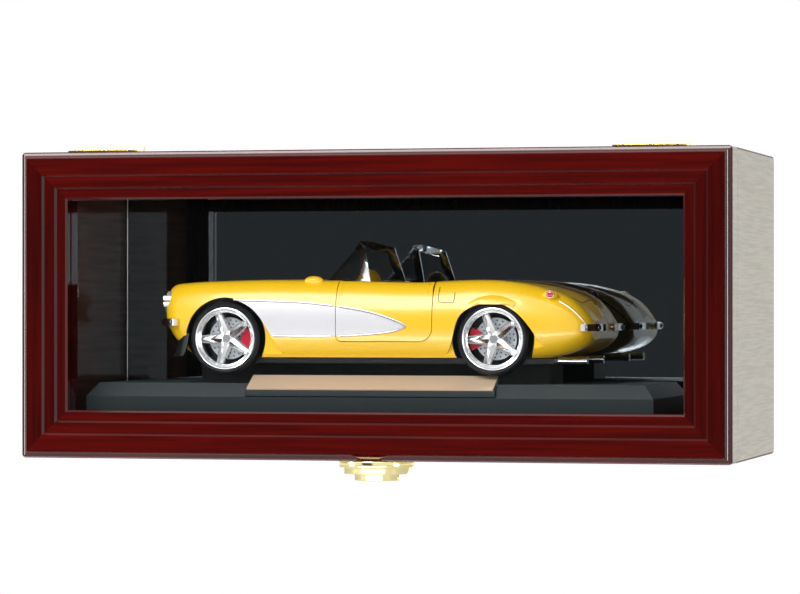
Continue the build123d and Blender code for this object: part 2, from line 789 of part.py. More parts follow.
def door_slab(side, grow, depth):
    """The space of a car door to a given depth: side is -1 on the near side of the case."""
    y = between(side, CAR_HALF_W - depth, CAR_HALF_W + 5)
    return face_prism_y(door_region(grow), y[0], y[1])


def door_sweep(side, grow):
    """What the rear edge of a door sweeps through as the door turns on its front edge."""
    reach = DOOR_SHUT_REAR - DOOR_SHUT_FRONT + grow
    return rod_z(reach, SILL_Z, SCREEN_TOP_Z, DOOR_SHUT_FRONT, car_y + side * CAR_HALF_W)


def roadster_body(mass):
    """The body shell with its wheel openings, cockpit, door openings and grille mouth."""
    body = mass - block((-200, 200), (car_y - 80, car_y + 80), (SILL_Z - 30, SILL_Z))
    for room in wheel_room():
        body -= room
    body -= extrude(Plane.XY.offset(COCKPIT_FLOOR) * cockpit_outline(), amount=60)
    for side in (-1, 1):
        body -= door_slab(side, SHUT_GAP, DOOR_DEPTH + SHUT_GAP)
        body -= lamp(side, LAMP_FIT)
        body -= cove_room[side]
    reach = CAR_HALF_W - DOOR_DEPTH - SHUT_GAP
    sill = (DOOR_SHUT_FRONT - SHUT_GAP, DOOR_SHUT_REAR + SHUT_GAP)
    body -= block(sill, (car_y - reach, car_y + reach), (DOOR_SHUT_LOW, SCREEN_TOP_Z))
    return body - grille_slot(GRILLE_FIT, -140, GRILLE_BACK)


def roadster_door(mass, side):
    """One car door: an outer panel with a smaller inner panel behind it."""
    outer = door_slab(side, 0, DOOR_SKIN) & door_sweep(side, 0)
    inner = door_slab(side, -DOOR_STEP, DOOR_DEPTH)
    return (mass & (outer + inner)) - cove_room[side]


def cove_prism(side):
    """The scoop's outline pushed through one flank."""
    edge = make_face(Spline(*COVE_UPPER) + Spline(*COVE_LOWER) + Line(COVE_LOWER[-1], COVE_UPPER[0]))
    y = between(side, CAR_HALF_W - 8, CAR_HALF_W + 3)
    return face_prism_y(edge, y[0], y[1])


def cove_lining(side, skin, floor):
    """The pale panel of one scoop: a part on the wing and a part on the door."""
    arch = face_prism_y(arch_outline(FRONT_AXLE_X, FRONT_ARCH), *between(side, 30, CAR_HALF_W + 4))
    panel = (cove_prism(side) & skin) - floor - arch
    on_wing = keep_largest(panel - door_slab(side, SHUT_GAP, DOOR_DEPTH))
    on_door = keep_largest(panel & door_slab(side, 0, DOOR_DEPTH))
    return on_wing, on_door


def keep_largest(shape):
    """The largest solid of a cut, without what the cut left on the far side."""
    return max(shape.solids(), key=lambda solid: solid.volume)


# Brightwork and fittings of the roadster

def lamp(side, grow=0.0):
    """A round headlamp let into the front of a wing."""
    y = car_y + side * LAMP_OUT
    barrel = rod_x(LAMP_R + grow, LAMP_FRONT, LAMP_BACK, y, LAMP_Z)
    if grow:
        return barrel + rod_x(LAMP_R + grow, LAMP_FRONT - 10, LAMP_FRONT, y, LAMP_Z)
    half_ball = Sphere(LAMP_R) & block((-LAMP_R, 0), (-LAMP_R, LAMP_R), (-LAMP_R, LAMP_R))
    return barrel + Pos(LAMP_FRONT, y, LAMP_Z) * scale(half_ball, by=(LAMP_DOME / LAMP_R, 1, 1))


def grille_slot(grow, x0, x1):
    """A round-ended bar of the mouth's outline along X."""
    face = Pos(0, GRILLE_Z) * SlotOverall(GRILLE_W + 2 * grow, GRILLE_H + 2 * grow)
    return extrude(car_plane.offset(x0) * face, amount=x1 - x0)


def radiator_grille():
    """A bright surround with a row of upright teeth on a thin back plate."""
    plate_x = GRILLE_BACK - 1
    surround = grille_slot(0, GRILLE_FRONT, GRILLE_BACK)
    surround -= grille_slot(-GRILLE_RING, GRILLE_FRONT - 1, plate_x)
    pitch = (GRILLE_W - GRILLE_H) / (GRILLE_TEETH - 1)
    half = GRILLE_TOOTH_W / 2
    for i in range(GRILLE_TEETH):
        y = car_y + (i - (GRILLE_TEETH - 1) / 2) * pitch
        outline = [(plate_x, y - half), (plate_x - 2.6, y - half), (plate_x - 3.6, y)]
        outline += [(plate_x - 2.6, y + half), (plate_x, y + half)]
        reach = GRILLE_H / 2 - GRILLE_RING / 2
        surround += prism_z(outline, GRILLE_Z - reach, GRILLE_Z + reach)
    return surround


def bumpers(mass, line, heart, z):
    """A pair of bars that wrap round the corners of the body, on short irons."""
    inside = []
    for x, out in line:
        reach = sqrt((heart[0] - x) ** 2 + (heart[1] - out) ** 2)
        inside.append((x + BUMPER_T * (heart[0] - x) / reach, out + BUMPER_T * (heart[1] - out) / reach))
    bars = []
    for side in (-1, 1):
        outer = Spline(*facing(side, line))
        inner = Spline(*facing(side, inside))
        ends = [Line(outer @ 0, inner @ 0), Line(outer @ 1, inner @ 1)]
        face = make_face(Curve() + [outer, inner] + ends)
        bar = extrude(Plane.XY.offset(z - BUMPER_H / 2) * face, amount=BUMPER_H)
        root = (inner @ 0).X
        span = sorted((root, root + (BUMPER_IRON_L if heart[0] > root else -BUMPER_IRON_L)))
        bar += rod_x(BUMPER_IRON_R, span[0], span[1], car_y + side * BUMPER_IRON_OUT, z)
        bars.append(keep_largest(bar - mass))
    return group(bars)


def on_wing(mass, place, side=1):
    """A smooth bump that sits on the body's surface."""
    x, out, z, size = place
    bump = Pos(x, car_y + side * out, z) * scale(Sphere(1), by=size)
    return keep_largest(bump - mass)


def screen_arc(inset, corner_x, middle_x, half, z):
    """The line of the wrapped screen at one height, moved in by an inset."""
    return ThreePointArc(
        (corner_x, car_y - half + inset, z),
        (middle_x + inset, car_y, z),
        (corner_x, car_y + half - inset, z),
    )


def screen_band(inset, thick):
    """The wrapped, raked wall that both the glass and its frame are cut from."""
    sections = []
    low = (SCREEN_FOOT_X, SCREEN_BASE_X, SCREEN_FOOT_HALF, SCREEN_BASE_Z)
    high = (SCREEN_TOP_CORNER_X, SCREEN_TOP_X, SCREEN_TOP_HALF, SCREEN_TOP_Z)
    for place in (low, high):
        outer = screen_arc(inset, *place)
        inner = screen_arc(inset + thick, *place)
        ends = [Line(outer @ 0, inner @ 0), Line(outer @ 1, inner @ 1)]
        sections.append(make_face(Curve() + [outer, inner] + ends))
    return loft(sections, ruled=True)


def screen_view(bar, foot):
    """The screen's outline seen from the front, with a crowned top, moved in by a bar width."""
    low, high = SCREEN_FOOT_HALF + 1 - bar, SCREEN_TOP_HALF + 1 - bar
    corner, crown = SCREEN_CORNER_Z - bar, SCREEN_TOP_Z - bar
    top = ThreePointArc((-high, corner), (0, crown), (high, corner))
    rest = Polyline((high, corner), (low, foot), (-low, foot), (-high, corner))
    return extrude(car_plane.offset(SCREEN_BASE_X - 10) * make_face(top + rest), amount=60)


def windscreen_frame(mass):
    """The bright frame round the screen, with its foot fitted to the body."""
    frame = screen_band(0, SCREEN_T) & screen_view(0, SCREEN_BASE_Z - 1)
    frame -= screen_view(SCREEN_BAR + 0.98, SCREEN_SILL_Z)
    return Pos(0, 0, SCREEN_SEAT) * keep_largest(frame - mass)


def windscreen_glass(mass):
    """The wrapped pane."""
    inset = (SCREEN_T - SCREEN_GLASS_T) / 2
    pane = screen_band(inset, SCREEN_GLASS_T) & screen_view(SCREEN_BAR + 1, SCREEN_SILL_Z)
    return keep_largest(Pos(0, 0, SCREEN_SEAT) * pane - mass)


def cockpit_tub():
    """The moulded floor and walls of the cockpit with its dashboard."""
    low = COCKPIT_FLOOR + TUB_FIT
    hull = extrude(Plane.XY.offset(low) * cockpit_outline(TUB_FIT), amount=TUB_RIM - low)
    room = extrude(Plane.XY.offset(low + TUB_T) * cockpit_outline(TUB_FIT + TUB_WALL), amount=40)
    front = COCKPIT_FRONT + TUB_FIT
    back = front + DASH_DEPTH
    face = make_face(
        Polyline((back - 4, TUB_RIM), (front, TUB_RIM), (front, DASH_LOW), (back - 1, DASH_LOW))
        + ThreePointArc((back - 1, DASH_LOW), (back, TUB_RIM - 4), (back - 4, TUB_RIM))
    )
    half = COCKPIT_HALF_W
    dashboard = face_prism_y(face, car_y - half, car_y + half)
    for side in (-1, 1):
        y = between(side, DASH_END_IN, half)
        dashboard += block((front, DASH_END_X), y, (DASH_LOW, TUB_RIM))
    return (hull - room) + (dashboard & hull)


def seats():
    """Two bucket seats on the cockpit floor."""
    floor = COCKPIT_FLOOR + TUB_FIT + TUB_T
    x0, x1 = SEAT_FRONT, SEAT_FRONT + SEAT_DEEP
    top, head = floor + SEAT_CUSHION, floor + SEAT_BACK
    side_view = make_face(
        Line((x0, floor), (x0, top - 1))
        + ThreePointArc((x0, top - 1), ((x0 + x1) / 2, top + 2), (x1, top))
        + Line((x1, top), (x1 + 7, head))
        + ThreePointArc((x1 + 7, head), (x1 + 10.5, head + 1.5), (x1 + 13, head - 2))
        + Polyline((x1 + 13, head - 2), (x1 + 8, floor), (x0, floor))
    )
    solids = []
    for side in (-1, 1):
        y = car_y + side * SEAT_OUT
        solids.append(face_prism_y(side_view, y - SEAT_W / 2, y + SEAT_W / 2))
    return group(solids)


def steering_wheel(tub):
    """A thin rim with three spokes on a column that meets the dashboard."""
    place = Pos(STEER_X, car_y - SEAT_OUT, STEER_Z) * Rot(0, STEER_TILT, 0)
    wheel = Cylinder(STEER_R, STEER_RIM) - Cylinder(STEER_R - STEER_RIM, 2) + Cylinder(1.5, STEER_RIM)
    for turn in (0, 120, 240):
        wheel += Rot(0, 0, turn) * Pos(STEER_R / 2, 0, 0) * Box(STEER_R - 1, 1.2, 0.8)
    column = place * Pos(0, 0, -STEER_COLUMN_L / 2) * Cylinder(STEER_COLUMN_R, STEER_COLUMN_L)
    return keep_largest(place * wheel + column - tub)


def chassis_pan():
    """The floor pan with a bored ear at each side of both axles."""
    pan = block(PAN_X, (car_y - PAN_HALF_W, car_y + PAN_HALF_W), (PAN_BOTTOM, PAN_BOTTOM + PAN_T))
    for axle_x in (FRONT_AXLE_X, rear_axle_x):
        x = (axle_x - PAN_EAR_HALF_L, axle_x + PAN_EAR_HALF_L)
        for side in (-1, 1):
            pan += block(x, between(side, *PAN_EAR), (PAN_BOTTOM, WHEEL_Z + PAN_EAR_HALF_L))
        half = PAN_EAR[1] + 1
        pan -= rod_y(AXLE_R + AXLE_FIT, car_y - half, car_y + half, axle_x, WHEEL_Z)
    return pan - car_screws(JOINT_FIT)


def exhaust_tips():
    """Two short pipes that leave the end of the pan under the tail."""
    z = PAN_BOTTOM + PAN_T / 2 + 0.4
    tips = []
    for side in (-1, 1):
        y = car_y + side * EXHAUST_OUT
        pipe = rod_x(EXHAUST_R, PAN_X[1], EXHAUST_END_X, y, z)
        tips.append(pipe - rod_x(EXHAUST_BORE_R, EXHAUST_END_X - 8, EXHAUST_END_X + 1, y, z))
    return group(tips)


# Wheels

def turned(points, axle_x, side):
    """Turns a section of (distance out from the middle, radius) about an axle."""
    flat = [(axle_x, car_y + side * d, WHEEL_Z + r) for d, r in points]
    axis = Axis((axle_x, car_y, WHEEL_Z), (0, 1, 0))
    return revolve(make_face(Polyline(*flat, close=True)), axis, 360)


def tyre(axle_x, side):
    """A tyre with chamfered shoulders and slightly bulged walls."""
    out, back = WHEEL_FACE, WHEEL_FACE - TYRE_W
    bead = RIM_R + AXLE_FIT
    wall = (bead + TYRE_R) / 2
    section = [
        (out - TYRE_BEAD, bead),
        (out, wall),
        (out - TYRE_SHOULDER, TYRE_R),
        (back + TYRE_SHOULDER, TYRE_R),
        (back, wall),
        (back + TYRE_BEAD, bead),
    ]
    return turned(section, axle_x, side)


def star_outline(axle_x, reach):
    """Five tapered spokes as one star, drawn in x and z."""
    outline = []
    for i in range(SPOKES):
        turn = radians(SPOKE_TURN + i * 360 / SPOKES)
        half = SPOKE_TIP / reach
        valley = (turn + radians(180 / SPOKES), SPOKE_VALLEY_R)
        for angle, r in ((turn - half, reach), (turn + half, reach), valley):
            outline.append((axle_x + r * cos(angle), WHEEL_Z + r * sin(angle)))
    return outline


def rim(axle_x, side):
    """A dished rim: a barrel with a lip, a hub with its cap and a star of five spokes."""
    out, inside = WHEEL_FACE - TYRE_BEAD, WHEEL_FACE - TYRE_W + TYRE_BEAD
    bore_r = RIM_R - RIM_LIP
    barrel = [(out, RIM_R), (out, bore_r), (inside, bore_r), (inside, RIM_R)]
    star = out - RIM_DISH
    hub = [(star + 0.8, 0), (star + 0.8, HUB_CAP_R), (star, HUB_R), (DISC_FACE, HUB_R), (DISC_FACE, 0)]
    wheel = turned(barrel, axle_x, side) + turned(hub, axle_x, side)
    wheel += prism_y(star_outline(axle_x, bore_r + RIM_LIP / 2), *between(side, star - SPOKE_T, star))
    bore = between(side, DISC_FACE - 1, WHEEL_FACE - AXLE_END)
    return wheel - rod_y(AXLE_R + AXLE_PRESS, bore[0], bore[1], axle_x, WHEEL_Z)


def axle(axle_x):
    """A turned axle with a brake disc near each end."""
    half = WHEEL_FACE - AXLE_END
    bar = rod_y(AXLE_R, car_y - half, car_y + half, axle_x, WHEEL_Z)
    for side in (-1, 1):
        y = between(side, DISC_FACE - DISC_T, DISC_FACE)
        bar += rod_y(DISC_R, y[0], y[1], axle_x, WHEEL_Z)
    return bar


def caliper(axle_x, side, towards):
    """A brake caliper that straddles the disc and bolts to the wall of the wheel well."""
    sweep = radians(CALIPER_SWEEP)
    corners = []
    for r, a in ((CALIPER_IN, -sweep), (CALIPER_OUT, -sweep), (CALIPER_OUT, sweep), (CALIPER_IN, sweep)):
        corners.append((axle_x + towards * r * cos(a), WHEEL_Z + r * sin(a)))
    arc = ThreePointArc(corners[1], (axle_x + towards * CALIPER_OUT, WHEEL_Z), corners[2])
    face = make_face(Polyline(corners[2], corners[3], corners[0], corners[1]) + arc)
    y = between(side, WHEEL_FACE - WELL_DEPTH + 0.1, CALIPER_FACE)
    gap = between(side, DISC_FACE - DISC_T - CALIPER_GAP, DISC_FACE + CALIPER_GAP)
    slot = rod_y(DISC_R + CALIPER_GAP, gap[0], gap[1], axle_x, WHEEL_Z)
    return face_prism_y(face, y[0], y[1]) - slot


def calipers():
    """Behind the front discs and ahead of the rear ones."""
    pairs = ((FRONT_AXLE_X, 1), (rear_axle_x, -1))
    return group(caliper(x, side, towards) for x, towards in pairs for side in (-1, 1))


nodes = {}
mass = body_mass(0)
cove_floor = body_mass(COVE_DEPTH)
cove_skin = body_mass(COVE_DEPTH - COVE_PANEL_T)
cove_room = {side: cove_prism(side) - cove_floor for side in (-1, 1)}
nodes["roadster_body"] = roadster_body(mass)
nodes["roadster_door_left"] = roadster_door(mass, -1)
nodes["roadster_door_right"] = roadster_door(mass, 1)
for side in ("top", "bottom"):
    nodes[f"case_{side}_board"] = case_board(side)
for side in ("left", "right"):
    nodes[f"case_{side}_side"] = case_board(side)
nodes["back_panel"] = back_panel()
nodes["back_mirror"] = back_mirror()
nodes["wall_hangers"] = wall_hangers()
nodes["door_top_rail"] = door_rail("top")
nodes["door_bottom_rail"] = door_rail("bottom")
nodes["door_left_stile"] = door_rail("left")
nodes["door_right_stile"] = door_rail("right")
nodes["door_glass"] = door_glass()
nodes["glass_stops"] = glass_stops()
nodes["door_bumpers"] = door_bumpers()
nodes["hinge_case_leaves"] = hinge_leaves(1)
nodes["hinge_door_leaves"] = hinge_leaves(-1)
nodes["hinge_pins"] = hinge_pins()
nodes["clasp_case_half"] = clasp_case_half()
nodes["clasp_door_half"] = clasp_door_half()
nodes["release_button"] = release_button()
nodes["clasp_hook"] = clasp_hook()
nodes["clasp_hook_pin"] = clasp_hook_pin()
nodes["clasp_springs"] = clasp_springs()
nodes["plinth_base"] = plinth_base()
nodes["plinth_riser"] = plinth_riser()
nodes["plinth_screws"] = wood_screws()
nodes["car_screws"] = car_screws()
nodes["name_block"] = name_block()
nodes["name_plate"] = name_plate()
nodes["chassis_pan"] = chassis_pan()
nodes["cockpit_tub"] = cockpit_tub()
nodes["seats"] = seats()
nodes["steering_wheel"] = steering_wheel(nodes["cockpit_tub"])
nodes["windscreen_frame"] = windscreen_frame(mass)
nodes["windscreen_glass"] = windscreen_glass(mass)
nodes["radiator_grille"] = radiator_grille()
nodes["headlamps"] = group(lamp(side) for side in (-1, 1))
nodes["front_bumpers"] = bumpers(mass, FRONT_BUMPER_LINE, FRONT_BUMPER_HEART, FRONT_BUMPER_Z)
nodes["rear_bumpers"] = bumpers(mass, REAR_BUMPER_LINE, REAR_BUMPER_HEART, REAR_BUMPER_Z)
nodes["tail_lamps"] = group(on_wing(mass, TAIL_LAMP, side) for side in (-1, 1))
nodes["wing_mirror"] = on_wing(mass, WING_MIRROR)
nodes["exhaust_tips"] = exhaust_tips()
nodes["brake_calipers"] = calipers()
linings = {side: cove_lining(side, cove_skin, cove_floor) for side in (-1, 1)}
nodes["cove_panels"] = group(linings[side][0] for side in (-1, 1))
nodes["door_cove_left"] = linings[-1][1]
nodes["door_cove_right"] = linings[1][1]
for end, axle_x in (("front", FRONT_AXLE_X), ("rear", rear_axle_x)):
    nodes[f"{end}_axle"] = axle(axle_x)
    nodes[f"{end}_rims"] = group(rim(axle_x, side) for side in (-1, 1))
    nodes[f"{end}_tyres"] = group(tyre(axle_x, side) for side in (-1, 1))

for name, shape in nodes.items():
    export_step(shape, f"parts/{name}.step")
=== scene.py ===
from math import cos, pi, radians, sin

import bpy
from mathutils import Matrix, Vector
from mathutils.bvhtree import BVHTree


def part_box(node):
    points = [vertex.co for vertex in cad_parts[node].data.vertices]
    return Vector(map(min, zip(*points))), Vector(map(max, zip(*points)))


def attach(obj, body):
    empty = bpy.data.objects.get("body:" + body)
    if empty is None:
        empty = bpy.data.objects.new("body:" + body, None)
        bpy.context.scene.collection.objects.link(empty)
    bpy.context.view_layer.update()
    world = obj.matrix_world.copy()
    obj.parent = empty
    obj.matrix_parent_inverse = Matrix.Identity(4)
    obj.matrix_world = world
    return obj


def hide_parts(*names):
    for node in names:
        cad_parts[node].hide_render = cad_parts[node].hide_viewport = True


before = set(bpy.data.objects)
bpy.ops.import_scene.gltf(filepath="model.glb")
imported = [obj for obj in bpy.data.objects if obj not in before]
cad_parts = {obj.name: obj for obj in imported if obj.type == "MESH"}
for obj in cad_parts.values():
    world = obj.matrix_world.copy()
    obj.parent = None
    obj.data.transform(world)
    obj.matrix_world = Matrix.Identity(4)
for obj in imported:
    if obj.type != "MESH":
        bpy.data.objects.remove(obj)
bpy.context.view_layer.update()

bl_info = {
    "name": "Model Car Display Case",
    "version": (1, 0, 0),
    "blender": (4, 5, 0),
    "location": "3D View > Sidebar > Display Case",
    "description": "Finishes and small parts for a wall-hung display case and its model roadster",
    "category": "Object",
}

MM = 0.001
BODY_LOW, BODY_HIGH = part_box("roadster_body")
CAR_Y = (BODY_LOW.y + BODY_HIGH.y) / 2
DOOR_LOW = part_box("roadster_door_left")[0]
WHEEL_FACE = 47.5 * MM
LEFT, RIGHT = -1, 1
SIDES = ((LEFT, "left"), (RIGHT, "right"))
ENDS = ("front", "rear")

# Radius that a turned piece keeps at a closed end, as a share or in millimetres
TIP = 0.0001

# Distances from the car's middle: where rays start, and what a ray must not pass
FLANK_START, DECK_START, FLANK_LEAST = 80 * MM, 60 * MM, 30 * MM

# Case
OUTER_X, OUTER_Z = 188 * MM, 80 * MM
# How far the painted glare reaches in past the outer faces of the door and of the boards
DOOR_WRAP, BOARD_WRAP = 0.03 * MM, 0.15 * MM
PLINTH_TOP = -41.15 * MM
HINGES = (-145, 145)
HINGE_SCREWS = (-14, 0, 14)
HINGE_TOP, HINGE_INSET, SCREW_R, SCREW_HEIGHT = 80.9 * MM, 3.2 * MM, 1.9 * MM, 0.5 * MM
CLASP_ROUND = 0.8 * MM

# Car, in millimetres and degrees where a size doesn't carry MM
PAINT_ROUGHNESS, PAINT_COAT, COAT_ROUGHNESS = 0.28, 0.4, 0.04
WELL_R, WELL_DEPTH = 21.8 * MM, 45.5 * MM
DISC_ROWS, DISC_HOLES = 3, 20
FIRST_ROW_R, ROW_STEP, ROW_SWING, DISC_HOLE_R = 5.6, 2.0, 0.35, 0.45
OPENING_R, LIP_R, LIP_MOST, LIP_LEVEL = 22.6, 25.6, 21.4, 17.9
LIP_START, LIP_SWEEP, LIP_ROWS = 56, 69, 24
CORNER_START, CORNER_STEP, CORNER_ROWS = 39.2, 0.66, 12
LAMP_FACE = -119.2 * MM
LENS_INSET = 0.35 * MM
POD_X, POD_OUT, POD_Z = -14.5 * MM, 17 * MM, 10.8 * MM
POD_SIZE = (6.5 * MM, 9 * MM, 8.2 * MM)
POD_FOOT = 10.9 * MM
SPOKES, FIRST_SPOKE, SPOKE_DEPTH = 5, 110, 4.05
RIVET_RING_R, RIVET_DEPTH, RIVET_R, RIVET_HEIGHT = 14.4, 1.75, 0.42, 0.5

# Stage, with the camera's place in metres and its turn in degrees
FLOOR_SIZE = 6
CAMERA_PLACE = (0.470, -1.930, 0)
CAMERA_TURN = 14.25
CAMERA_LENS, SENSOR = 162.45, 36
SHIFT_X, SHIFT_Y = 0.0019, 0.0101
KEY_PLACE = (-0.5, -1.7, 1.25)
CARD_HEIGHT, CARD_WIDTH, CARD_OFFSET, CARD_DARK = (0.14, 0.24), (0.2, 0.34), 0.25, 0.94
OVERHEAD, OVERHEAD_LIGHT = (0.3, 0.55), 0.6


def wheel_centre(end):
    """The middle of an axle, from its tyres."""
    low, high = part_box(f"{end}_tyres")
    return (low + high) / 2


def shade(red, green, blue):
    """A colour measured on a screen, 0 to 255, as the linear values that a shader takes."""
    linear = []
    for level in (red, green, blue):
        level /= 255
        linear.append(level / 12.92 if level < 0.04045 else ((level + 0.055) / 1.055) ** 2.4)
    return tuple(linear)


def colour_choice(name, description, *levels):
    """A colour that the user can pick."""
    return bpy.props.FloatVectorProperty(
        name=name, description=description, subtype="COLOR", size=3, min=0, max=1, default=shade(*levels)
    )


def length_choice(name, description, millimetres):
    """A length that the user can set."""
    return bpy.props.FloatProperty(
        name=name, description=description, unit="LENGTH", min=0, precision=5, default=millimetres * MM
    )


def power_choice(name, description, watts):
    """A lamp's power that the user can set."""
    return bpy.props.FloatProperty(name=name, description=description, default=watts, min=0, unit="POWER")


# Sizes and colours that can be changed

class CaseChoices(bpy.types.PropertyGroup):
    """Colours of the case, its metalwork and its plinth."""

    cherry: colour_choice("Cherry", "Lacquer on the door's front", 86, 8, 4)
    cherry_dark: colour_choice("Cherry grain", "Darker figure in the lacquered door", 58, 4, 3)
    # Painted glare: this pale colour stands in for the white reflection on the cherry outside of the case
    pale: colour_choice("Pale wood", "Outside of the case", 221, 217, 206)
    inner: colour_choice("Inner wood", "Inside of the case", 104, 70, 56)
    brass: colour_choice("Brass", "Hinges and clasp", 243, 229, 166)
    plate: colour_choice("Name plate", "Bare satin plate on the plinth", 252, 222, 190)
    plinth: colour_choice("Plinth", "Moulded plinth", 40, 52, 55)
    mirror: colour_choice("Mirror", "Tint of the smoked mirror", 146, 156, 163)


class CarChoices(bpy.types.PropertyGroup):
    """Colours of the roadster and sizes of its trim."""

    paint: colour_choice("Paint", "Body colour", 253, 205, 32)
    cove: colour_choice("Scoop paint", "Colour inside the scoops", 226, 226, 230)
    caliper: colour_choice("Calipers", "Brake caliper paint", 190, 24, 50)
    disc: colour_choice("Discs", "Brake disc metal", 206, 212, 216)
    trim_r: length_choice("Trim radius", "Half the width of the bright trim", 0.5)
    gap_r: length_choice("Shut line radius", "Half the width of a dark panel line", 0.2)
    rivets: bpy.props.IntProperty(
        name="Rivets", description="Rivets round each rim", default=26, min=6, max=60
    )


class StageChoices(bpy.types.PropertyGroup):
    """Light and ground around the case."""

    level: bpy.props.FloatProperty(
        name="Sky level", description="Even light from all round", default=0.68, min=0
    )
    key: power_choice("Key lamp", "Lamp above the front", 33)
    strip: power_choice("Strips", "Lamps round the front that show only in reflections", 22)
    drop: length_choice("Floor drop", "Distance of the floor below the middle of the case", 450)


# Small tools for making pieces

def nothing_selected():
    """Leaves object mode with nothing selected."""
    if bpy.context.object and bpy.context.object.mode != "OBJECT":
        bpy.ops.object.mode_set(mode="OBJECT")
    bpy.ops.object.select_all(action="DESELECT")


def settle(piece, name, material, body, angle=35):
    """Names a new piece, puts its place into its mesh, finishes it and hangs it on a body."""
    nothing_selected()
    piece.select_set(True)
    bpy.context.view_layer.objects.active = piece
    bpy.ops.object.transform_apply(location=True, rotation=True, scale=True)
    bpy.ops.object.mode_set(mode="EDIT")
    bpy.ops.mesh.select_all(action="SELECT")
    bpy.ops.mesh.remove_doubles(threshold=1e-7)
    bpy.ops.mesh.normals_make_consistent(inside=False)
    bpy.ops.object.mode_set(mode="OBJECT")
    bpy.ops.object.shade_smooth_by_angle(angle=radians(angle))
    piece.name = name
    piece.data.materials.clear()
    piece.data.materials.append(material)
    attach(piece, body)


def turned(profile, centre, axis, sign, steps=72):
    """Spins a closed outline of (distance along the axis, radius) about that axis."""
    nothing_selected()
    bpy.ops.mesh.primitive_circle_add(vertices=len(profile), radius=1)
    piece = bpy.context.object
    along_axis = Vector([sign * (name == axis) for name in "XYZ"])
    outwards = Vector((0, 0, 1)) if axis == "Y" else Vector((0, 1, 0))
    for vertex, (along, r) in zip(piece.data.vertices, profile):
        vertex.co = centre + along_axis * along + outwards * r
    bpy.ops.object.mode_set(mode="EDIT")
    bpy.ops.mesh.select_all(action="SELECT")
    bpy.ops.mesh.spin(steps=steps, angle=2 * pi, center=centre, axis=along_axis)
    bpy.ops.object.mode_set(mode="OBJECT")
    return piece


def curve_through(points, per_span):
    """More points on a smooth line through the given ones."""
    last = len(points) - 1
    line = []
    for i in range(last):
        a, b, c, d = (Vector(points[min(max(i + step, 0), last)]) for step in (-1, 0, 1, 2))
        for k in range(per_span):
            t = k / per_span
            square = (2 * a - 5 * b + 4 * c - d) * t**2
            cube = (3 * b - a - 3 * c + d) * t**3
            line.append(0.5 * (2 * b + (c - a) * t + square + cube))
    line.append(Vector(points[-1]))
    return line


def tube(points, r):
    """A round bead along a line of points."""
    nothing_selected()
    bpy.ops.curve.primitive_nurbs_path_add()
    line = bpy.context.object
    line.data.splines.clear()
    spline = line.data.splines.new("POLY")
    spline.points.add(len(points) - 1)
    for knot, place in zip(spline.points, points):
        knot.co = (*place, 1)
    line.data.bevel_depth = r
    line.data.bevel_resolution = 2
    line.data.use_fill_caps = True
    bpy.ops.object.convert(target="MESH")
    return bpy.context.object


def shell(rows, thick):
    """A sheet through a grid of places, given a thickness, half of it on each side."""
    nothing_selected()
    wide, deep = len(rows[0]), len(rows)
    bpy.ops.mesh.primitive_grid_add(x_subdivisions=wide - 1, y_subdivisions=deep - 1)
    sheet = bpy.context.object
    spots = [place for row in rows for place in row]
    for vertex, place in zip(sheet.data.vertices, spots):
        vertex.co = place
    wall = sheet.modifiers.new("wall", "SOLIDIFY")
    wall.thickness = thick
    wall.offset = 0
    bpy.ops.object.modifier_apply(modifier="wall")
    return sheet


def dome(place, r, height, axis, sign=1, sides=12):
    """A low round head: a short cylinder whose outer end is drawn in."""
    profile = [(0, TIP * r), (0, r), (0.45 * height, r), (0.85 * height, 0.7 * r), (height, TIP * r)]
    return turned(profile, Vector(place), axis, sign, sides)


def softened(node, width, material, body):
    """A copy of a solid with rounded edges, which stands in for it."""
    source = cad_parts[node]
    piece = bpy.data.objects.new(f"{node}_rounded", source.data.copy())
    bpy.context.scene.collection.objects.link(piece)
    nothing_selected()
    piece.select_set(True)
    bpy.context.view_layer.objects.active = piece
    bpy.ops.object.mode_set(mode="EDIT")
    bpy.ops.mesh.select_all(action="SELECT")
    bpy.ops.mesh.customdata_custom_splitnormals_clear()
    bpy.ops.mesh.remove_doubles(threshold=1e-6)
    bpy.ops.mesh.dissolve_limited(angle_limit=radians(1))
    bpy.ops.object.mode_set(mode="OBJECT")
    edge = piece.modifiers.new("edge", "BEVEL")
    edge.width = width
    edge.segments = 3
    edge.limit_method = "ANGLE"
    edge.angle_limit = radians(50)
    bpy.ops.object.modifier_apply(modifier="edge")
    settle(piece, f"{node}_rounded", material, body)
    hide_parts(node)


def joined(pieces):
    """Makes one object of several."""
    nothing_selected()
    for piece in pieces:
        piece.select_set(True)
    bpy.context.view_layer.objects.active = pieces[0]
    if len(pieces) > 1:
        bpy.ops.object.join()
    return bpy.context.object


def skin_tree(nodes):
    """The outer surface of some CAD nodes, ready to be met by a ray."""
    places, faces = [], []
    for node in nodes:
        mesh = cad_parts[node].data
        start = len(places)
        places.extend(vertex.co for vertex in mesh.vertices)
        faces.extend([start + i for i in polygon.vertices] for polygon in mesh.polygons)
    return BVHTree.FromPolygons(places, faces)


car_skin = skin_tree([
    "roadster_body", "roadster_door_left", "roadster_door_right", "cove_panels", "door_cove_left",
    "door_cove_right",
])


def on_flank(side, points, lift=0.0):
    """Lays points of x and z, in millimetres, on one flank of the car.

    The flank is read above each point by the lift, which is below it where the lift is negative.
    """
    laid = []
    for x, z in points:
        start = Vector((x * MM, CAR_Y + side * FLANK_START, (z + lift) * MM))
        hit = car_skin.ray_cast(start, Vector((0, -side, 0)))[0]
        if hit and abs(hit.y - CAR_Y) > FLANK_LEAST:
            laid.append(Vector((hit.x, hit.y, z * MM)))
    return laid


def on_deck(points):
    """Lays points of x and distance from the middle, in millimetres, on the car from above."""
    laid = []
    for x, out in points:
        start = Vector((x * MM, CAR_Y + out * MM, DECK_START))
        hit = car_skin.ray_cast(start, Vector((0, 0, -1)))[0]
        if hit:
            laid.append(hit)
    return laid


# Materials

